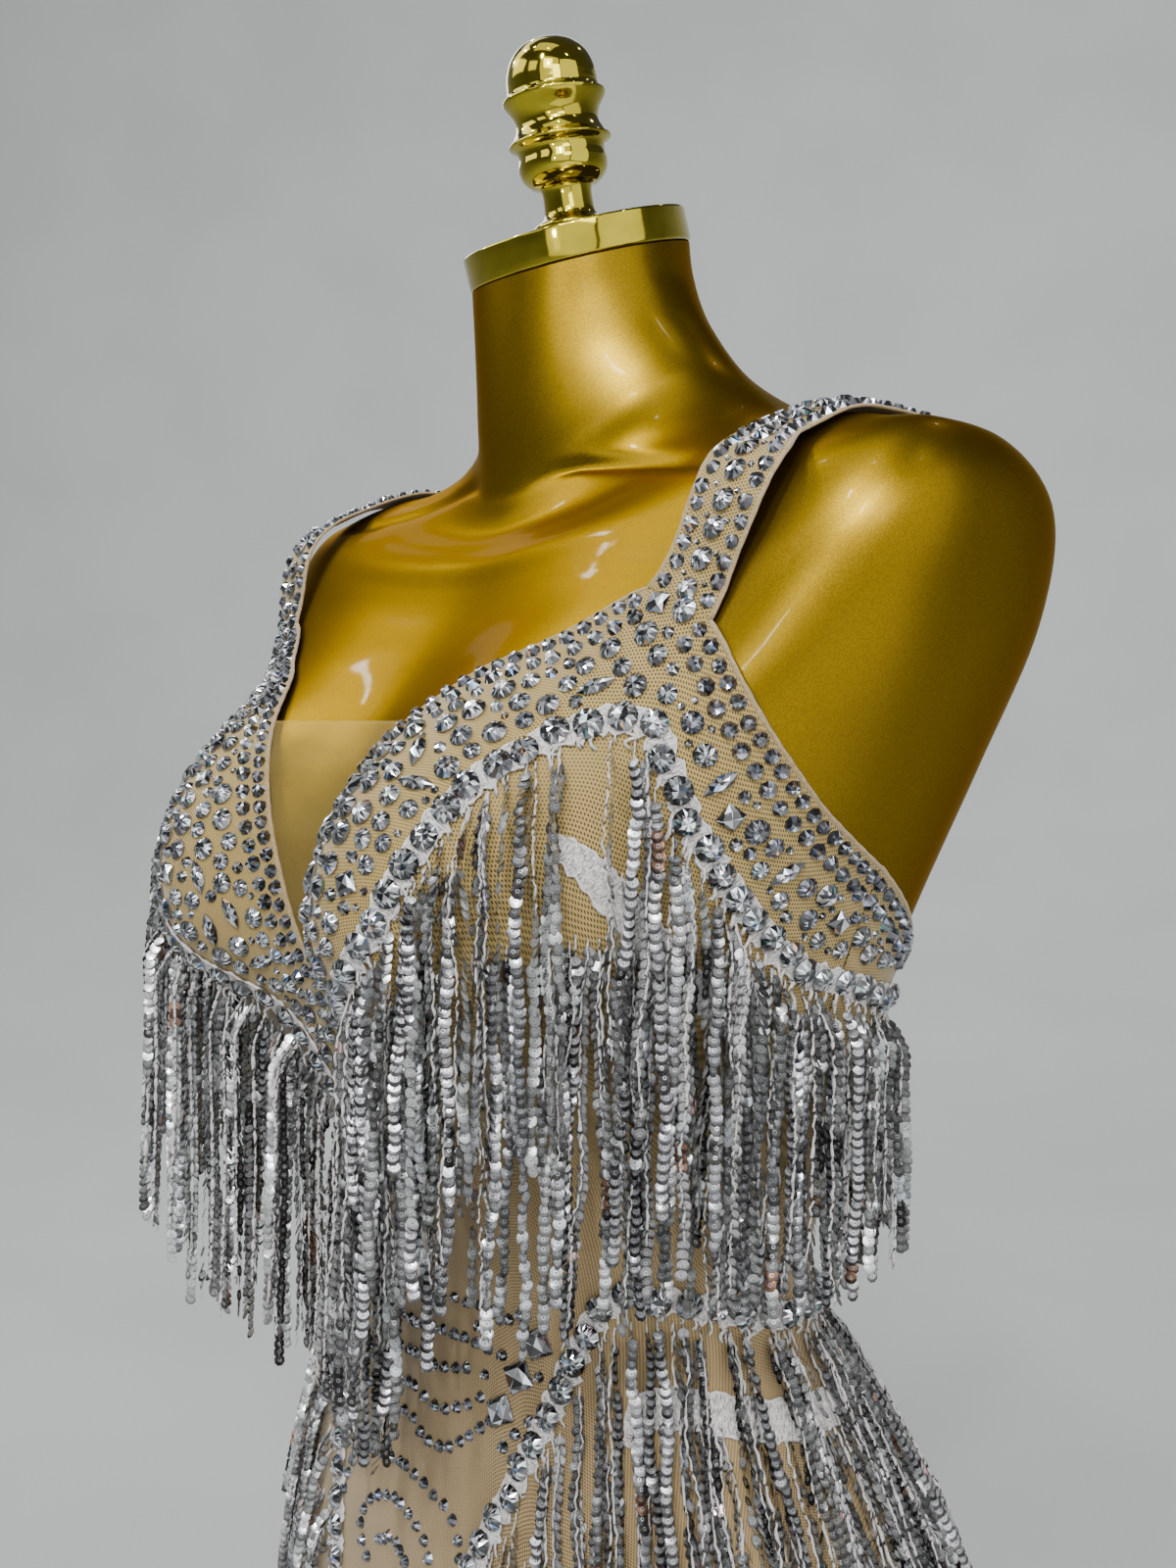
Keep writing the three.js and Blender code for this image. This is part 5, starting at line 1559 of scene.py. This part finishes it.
def fringe(name, anchors, lengths, offs, seed, disc_kind, thread_step, node_names):
    rng = np.random.default_rng(seed)
    n = len(anchors)
    sway = rng.normal(0, 2.2, n)
    P, s, theta = strand_paths(anchors, anchors[:, 2], lengths, offs, sway, rng)
    seg = np.linalg.norm(np.diff(P, axis=1), axis=2)
    arc = np.concatenate([np.zeros((n, 1)), np.cumsum(seg, 1)], 1)
    kinds = rng.choice([0, 1, 2], n, p=[0.31, 0.41, 0.28])
    # the side that a hanging strand shows: out, on edge, or its thread
    face0 = np.where(kinds == 0, rng.normal(0, 0.42, n), np.where(kinds == 1, rng.choice([-1, 1], n) * rng.uniform(0.9, 1.9, n),
                                                                 np.pi + rng.normal(0, 0.4, n)))
    twist = rng.normal(0, 0.6, n)
    C, T, O, ang, counts, thread_rows = [], [], [], [], [], []
    for i in range(n):
        first = rng.uniform(3.5, 9.0)
        pos = np.arange(first, lengths[i], SEQUIN_PITCH)
        c = np.stack([np.interp(pos, arc[i], P[i, :, k]) for k in range(3)], -1)
        c2 = np.stack([np.interp(pos + 1.5, arc[i], P[i, :, k]) for k in range(3)], -1)
        c1 = np.stack([np.interp(pos - 1.5, arc[i], P[i, :, k]) for k in range(3)], -1)
        t = unit(c2 - c1)
        th = np.interp(pos, arc[i], theta[i])
        o = np.stack([np.sin(th), -np.cos(th), np.zeros_like(th)], -1)
        o = unit(o - (o * t).sum(-1, keepdims=True) * t)
        C.append(c)
        T.append(t)
        O.append(o)
        ang.append(face0[i] + twist[i] * pos / lengths[i] + 0.25 * np.sin(pos / 14 + face0[i] * 3) + rng.normal(0, 0.17, len(pos)))
        counts.append(len(pos))
    C, T, O, ang = map(np.concatenate, (C, T, O, ang))
    m = len(C)
    S = np.cross(T, O)
    F = O * np.cos(ang)[:, None] + S * np.sin(ang)[:, None]
    tilt = (rng.normal(0.24, 0.10, m) + np.repeat(rng.normal(0, 0.08, n), counts))[:, None]
    U = -T
    normal = unit(F * np.cos(tilt) + U * np.sin(tilt) + np.cross(F, U) * rng.normal(0, 0.10, (m, 1)))
    up = unit(U - (U * normal).sum(-1, keepdims=True) * normal)
    right = np.cross(up, normal)
    size = SEQUIN_SIZE * (1 + rng.normal(0, 0.015, m)) / 2
    V0, F0, uv0 = disc_kind
    centre = C + F * 0.55 + S * rng.normal(0, 0.22, (m, 1))
    verts, faces = instances(V0, [F0], centre, right, up, normal, size)
    tone = tone_for(kinds, counts, rng)
    if node_names[0].endswith("right"):
        tone[:, :3] = np.clip(tone[:, :3] * 1.45, 0, 1)      # painted light: these hang further from the bright wall, so their colours are brightened in place of the light they would catch
    tone = np.repeat(tone, len(V0), axis=0)
    sequins = build(f"{name}_sequins", verts, faces, SEQUIN, "sequin_silver", uv=np.tile(uv0, (m, 1)), tone=tone, sharp=60)
    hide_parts(*node_names)

    # twisted thread: all the way down behind some strands, only its loop on the others
    heap = Heap()
    tri = np.linspace(0, 2 * np.pi, 3, endpoint=False)
    share = np.array([0.08, 0.45, 1.0])[kinds]
    for i in range(n):
        whole = rng.random() < share[i]
        reach = lengths[i] * rng.uniform(0.86, 1.03) if whole else rng.uniform(5, 11)
        pos = np.arange(0, reach + 0.1, thread_step if whole else 2.0)
        pos = pos + rng.uniform(-0.3, 0.3, len(pos)) * (pos > 0)
        q = np.stack([np.interp(pos, arc[i], P[i, :, k]) for k in range(3)], -1)
        t = unit(np.gradient(q, axis=0)) if len(q) > 2 else np.tile([[0, 0, -1.0]], (len(q), 1))
        th = np.interp(pos, arc[i], theta[i])
        o = np.stack([np.sin(th), -np.cos(th), np.zeros_like(th)], -1)
        o = unit(o - (o * t).sum(-1, keepdims=True) * t)
        sd = np.cross(t, o)
        if whole:
            a = face0[i] + twist[i] * pos / lengths[i] + np.pi
            back = o * np.cos(a)[:, None] + sd * np.sin(a)[:, None]
            kink = rng.normal(0, 0.20, (len(pos), 1)) * sd + (0.28 * np.sin(pos * 1.15 + face0[i]) + 0.5 * np.sin(pos / 9 + face0[i]))[:, None] * sd
            q = q + back * 0.85 * smooth(pos / 6)[:, None] + kink * smooth(pos / 5)[:, None]
        rad = (0.58 if whole else 0.48) * np.clip(1 + rng.normal(0, 0.24, len(pos)), 0.45, 1.6)
        rad[-1] *= 0.4
        spin = pos * 0.8 + rng.normal(0, 0.3, len(pos))
        sec = np.stack([np.cos(tri[None] + spin[:, None]) * rad[:, None] * 1.25, np.sin(tri[None] + spin[:, None]) * rad[:, None] * 0.8], -1)
        v, f = sweep(q, o, sd, sec)
        heap.add(v, f)
    thread = heap.build(f"{name}_thread", THREAD, "thread_white")
    return [sequins, thread]


def anchors_along(deg_z, pitch, off, sign, rng, drop=0.0):
    """Anchor points along a line of angle and height, spread evenly as seen from outside."""
    P, N = at(deg_z[:, 0], deg_z[:, 1] - drop, off)
    T = unit(np.gradient(P, axis=0))
    flat = np.maximum(np.linalg.norm(T[:, :2], axis=1), 0.42)
    step = np.linalg.norm(np.diff(P, axis=0), axis=1) * flat[1:]
    d = np.concatenate([[0], np.cumsum(step)])
    n = max(int(d[-1] / pitch), 2)
    s = (np.arange(n) + rng.uniform(0.15, 0.85, n)) * d[-1] / n
    # the strands hang in small bunches with slits between them
    s = s + 2.4 * np.sin(2 * np.pi * s / 21 + rng.uniform(0, 6)) + 1.3 * np.sin(2 * np.pi * s / 9.2 + rng.uniform(0, 6))
    s = np.clip(s, 0, d[-1])
    q = np.stack([np.interp(s, d, deg_z[:, k]) for k in range(2)], -1)
    q[:, 1] += rng.normal(0, 0.8, n) - drop
    A, _ = at(q[:, 0], q[:, 1], off)
    return A * [sign, 1, 1], q


def make_fringe():
    bust = np.array(FRINGE_BUST, float)
    hip = np.array(FRINGE_HIP, float)
    total = 0
    for k, (side, sign) in enumerate((("left", 1), ("right", -1))):
        rng = np.random.default_rng(300 + k)
        # bust: below the lace, midway, and the lowest row
        _, P, N, T, A, W, q = lace_frame(LACE_CUP, 2.0, LACE_OUT)
        low = inset(q[:, :2], 5.6, LACE_OUT)
        rows = []
        aA, qA = anchors_along(low, 3.5, LACE_OUT + 0.6, sign, rng)
        # next to nothing hangs below the peak of the lace
        open_ = (qA[:, 0] > 40.2) & (qA[:, 0] < 44.6) & (rng.random(len(qA)) < 0.9)
        aA, qA = aA[~open_], qA[~open_]
        rows.append((aA, qA, rng.normal(126, 9, len(aA)), rng.uniform(7.0, 13.5, len(aA))))
        end = lambda d: np.interp(d, bust[:, 0], bust[:, 2])
        top = lambda d: np.interp(d, q[:, 0], q[:, 1])
        d = np.linspace(1.2, 119, 300)
        zC = np.minimum(end(d) + 122, top(d) - 13)
        zB = (top(d) - 6 + zC) / 2
        for zz, pitch, lo, hi, need in ((zC, 4.1, 2.6, 7.0, 14), (zB, 4.5, 4.2, 9.5, 44)):
            keep = (top(d) - zz) > need * 0.5
            line = np.column_stack([d, zz])[keep]
            a, qq = anchors_along(line, pitch, CLOTH_OUT + 0.4, sign, rng)
            want = (top(qq[:, 0]) - qq[:, 1]) > need * 0.5
            if need == 44:
                want &= (qq[:, 0] < 38) | (qq[:, 0] > 61) | (rng.random(len(qq)) < 0.25)
            a, qq = a[want], qq[want]
            rows.append((a, qq, rng.normal(122, 9, len(a)), rng.uniform(lo, hi, len(a))))
        # a short row below the inner patch of satin stitch
        _, _, _, _, _, _, qb = lace_frame(LACE_BAND, 2.0, LACE_OUT)
        patch = inset(qb[:, :2], 5.0, LACE_OUT)
        a, qq = anchors_along(patch[patch[:, 0] > 51], 4.6, LACE_OUT + 0.4, sign, rng)
        rows.append((a, qq, rng.normal(118, 9, len(a)), rng.uniform(4.0, 7.5, len(a))))
        anc = np.concatenate([r[0] for r in rows])
        qs = np.concatenate([r[1] for r in rows])
        L = np.concatenate([r[2] for r in rows])
        off = np.concatenate([r[3] for r in rows])
        floor = np.interp(qs[:, 0], bust[:, 0], bust[:, 2])
        L = np.clip(L, 60, np.maximum(qs[:, 1] - floor + 6, 70))
        L = L - np.abs(rng.normal(0, 5, len(L))) - np.where(rng.random(len(L)) < 0.28, rng.uniform(5, 24, len(L)), 0)
        obs = fringe(f"fringe_bust_{side}", anc, L, off, 500 + k, DISC8, 1.9, [f"fringe_bust_{side}"])
        # hip: below the lace, along the curl, and the lowest row
        _, P, N, T, A, W, q = lace_frame(LACE_HIP, 2.0, LACE_OUT)
        low = inset(q[:, :2], 6.4, LACE_OUT)
        low = low[low[:, 0] < 179.2]
        rows = []
        a, qq = anchors_along(low, 3.9, LACE_OUT + 0.6, sign, rng)
        rows.append((a, qq, rng.normal(116, 9, len(a)), rng.uniform(6.0, 11.0, len(a))))
        top = lambda d: np.interp(d, q[:, 0], q[:, 1])
        end = lambda d: np.interp(d, hip[:, 0], hip[:, 2])
        for drop, pitch, lo, hi, d0 in ((36, 4.4, 3.6, 7.0, 26), (70, 4.4, 2.4, 5.0, 22)):
            d = np.linspace(d0, 179, 300)
            a, qq = anchors_along(np.column_stack([d, top(d) - drop * smooth((d - 12) / 22)]), pitch, CLOTH_OUT + 0.4, sign, rng)
            rows.append((a, qq, rng.normal(112, 9, len(a)), rng.uniform(lo, hi, len(a))))
        anc = np.concatenate([r[0] for r in rows])
        qs = np.concatenate([r[1] for r in rows])
        L = np.concatenate([r[2] for r in rows])
        off = np.concatenate([r[3] for r in rows])
        floor = np.interp(qs[:, 0], hip[:, 0], hip[:, 2])
        L = np.clip(L, 50, np.maximum(qs[:, 1] - floor + 6, 56))
        L = L - np.abs(rng.normal(0, 4, len(L))) - np.where(rng.random(len(L)) < 0.2, rng.uniform(4, 16, len(L)), 0)
        obs = fringe(f"fringe_hip_{side}", anc, L, off, 700 + k, DISC8 if sign > 0 else DISC6, 2.2 if sign > 0 else 3.4, [f"fringe_hip_{side}"])


make_fringe()


# ------------------------------------------------------------------ what each sheet was cut to
def area_of(mid):
    d1, d2 = mid[1:, 1:] - mid[:-1, :-1], mid[1:, :-1] - mid[:-1, 1:]
    return 0.5 * np.linalg.norm(np.cross(d1, d2), axis=-1).sum() * 1e-6


for ob_, mid_ in ((FRONT_OB, FRONT_MID), (BACK_OB, BACK_MID)):
    w_ = np.linalg.norm(np.diff(mid_, axis=1), axis=2).sum(1).max() * 0.001
    h_ = np.linalg.norm(np.diff(mid_, axis=0), axis=2).sum(0).max() * 0.001
    print("flat", ob_.name, round(w_, 4), round(h_, 4), "area", round(area_of(mid_), 5))
for g_, side_ in zip(STRAP_GRIDS, ("left", "right")):
    print("strap", side_, "length", round(float(g_[3][-1]), 1))


# ------------------------------------------------------------------ stage and light
def stage():
    """A round studio bowl: floor at z = 0 that turns up into a wall, open above."""
    prof = [(0.0, 0.0), (0.4, 0), (1.0, 0), (1.5, 0)]
    prof += [(1.5 + 2.3 * math.sin(a), 2.3 - 2.3 * math.cos(a)) for a in np.radians(np.linspace(4, 90, 24))]
    prof += [(3.8, 2.9)]
    prof = np.array(prof)
    a = np.linspace(0, 2 * np.pi, 128, endpoint=False)
    V = np.stack([prof[:, None, 0] * np.cos(a), prof[:, None, 0] * np.sin(a), np.repeat(prof[:, 1:2], 128, 1)], -1) * 1000
    V[..., 2] -= 0.3
    idx = np.arange(V.shape[0] * 128).reshape(-1, 128)
    nx = np.roll(idx, -1, axis=1)
    quads = np.stack([idx[:-1].ravel(), nx[:-1].ravel(), nx[1:].ravel(), idx[1:].ravel()], -1)
    ob = build("studio_bowl", V.reshape(-1, 3), [quads], stage_paper(), None)
    ob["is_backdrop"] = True


def light(name, place, target, size, power, colour=(1, 1, 1)):
    data = bpy.data.lights.new(name, "AREA")
    data.shape, data.size, data.size_y = "RECTANGLE", size[0], size[1]
    data.energy, data.color = power, colour
    ob = bpy.data.objects.new(name, data)
    bpy.context.scene.collection.objects.link(ob)
    d = Vector(target) - Vector(place)
    ob.location = place
    ob.rotation_mode = "QUATERNION"
    ob.rotation_quaternion = d.to_track_quat("-Z", "Y")
    ob.visible_camera = False


def panel_light(name, az, el, dist, size, glow, colour=(1, 1, 1)):
    """A panel that faces the object from a direction (degrees), with its brightness rather than its power given."""
    a, e = math.radians(az), math.radians(el)
    place = (dist * math.sin(a) * math.cos(e), -dist * math.cos(a) * math.cos(e), 0.6 + dist * math.sin(e))
    light(name, place, (0, 0, 0.6), size, glow * math.pi * size[0] * size[1], colour)


def lights():
    """A dim room with a tall bright wall of soft panels to the object's left, a window high on its right, and small ceiling lamps."""
    w = bpy.data.worlds.new("dim_room")
    w.use_nodes = True
    bpy.context.scene.world = w
    bg = w.node_tree.nodes["Background"]
    bg.inputs[0].default_value = (0.80, 0.81, 0.80, 1)
    bg.inputs[1].default_value = 0.13
    light("tall_left_a", (1.63, -1.47, 1.45), (0, 0, 1.45), (1.9, 2.6), 1.5 * math.pi * 4.94)
    light("tall_left_b", (2.18, 0.31, 1.35), (0, 0, 1.35), (1.9, 2.5), 1.7 * math.pi * 4.75)
    light("low_left", (1.25, -0.10, 0.04), (1.25, -0.10, 1.0), (1.2, 1.3), 1.2 * math.pi * 1.56)
    panel_light("window_right", -60, 47, 2.0, (0.75, 1.0), 3.4)
    panel_light("window_back", -95, 58, 2.0, (0.7, 0.5), 1.8)
    panel_light("window_low", -112, 31, 2.1, (1.2, 0.6), 3.0)
    panel_light("front_right", -40, 31, 2.1, (1.4, 0.7), 3.2)
    panel_light("front_mid", 5, 28, 2.1, (0.7, 0.7), 2.4)
    panel_light("overhead", 20, 72, 1.9, (1.1, 0.9), 1.4)
    panel_light("shoulder_soft", 44, 32, 1.9, (0.6, 0.7), 8.0)
    panel_light("shoulder_side", 64, 20, 1.9, (0.55, 0.6), 7.0)
    panel_light("shoulder_lamp_a", 27, 46, 1.9, (0.06, 0.16), 400)
    panel_light("shoulder_lamp_b", 45, 32, 1.9, (0.06, 0.20), 400)
    panel_light("neck_lamp", -52, 55, 1.9, (0.14, 0.05), 400)
    panel_light("chest_lamp", -69, 37, 1.9, (0.10, 0.04), 170)
    panel_light("arm_lamp", 33, 1, 1.9, (0.06, 0.15), 200)
    for k, (az, el, glow) in enumerate(((-30, 66, 140), (40, 64, 140), (100, 52, 140), (-110, 48, 110), (180, 55, 80))):
        panel_light(f"downlight_{k}", az, el, 2.1, (0.06, 0.06), glow)
    # two wide washes on the wall behind, turned away from the object
    light("wash_a", (-0.55, 1.15, 2.55), (-2.3, 3.0, 1.0), (1.4, 0.4), 60, (0.97, 1.0, 1.0))
    light("wash_b", (-1.25, 0.45, 2.55), (-3.6, 1.5, 0.5), (1.2, 0.4), 25, (0.96, 1.0, 1.02))


stage()
lights()

tris = 0
for ob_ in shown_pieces():
    n_ = sum(len(p.vertices) - 2 for p in ob_.data.polygons) if len(ob_.data.polygons) < 400000 else 0
    tris += n_
    print("tris", ob_.name, n_)
print("tris in all", tris)
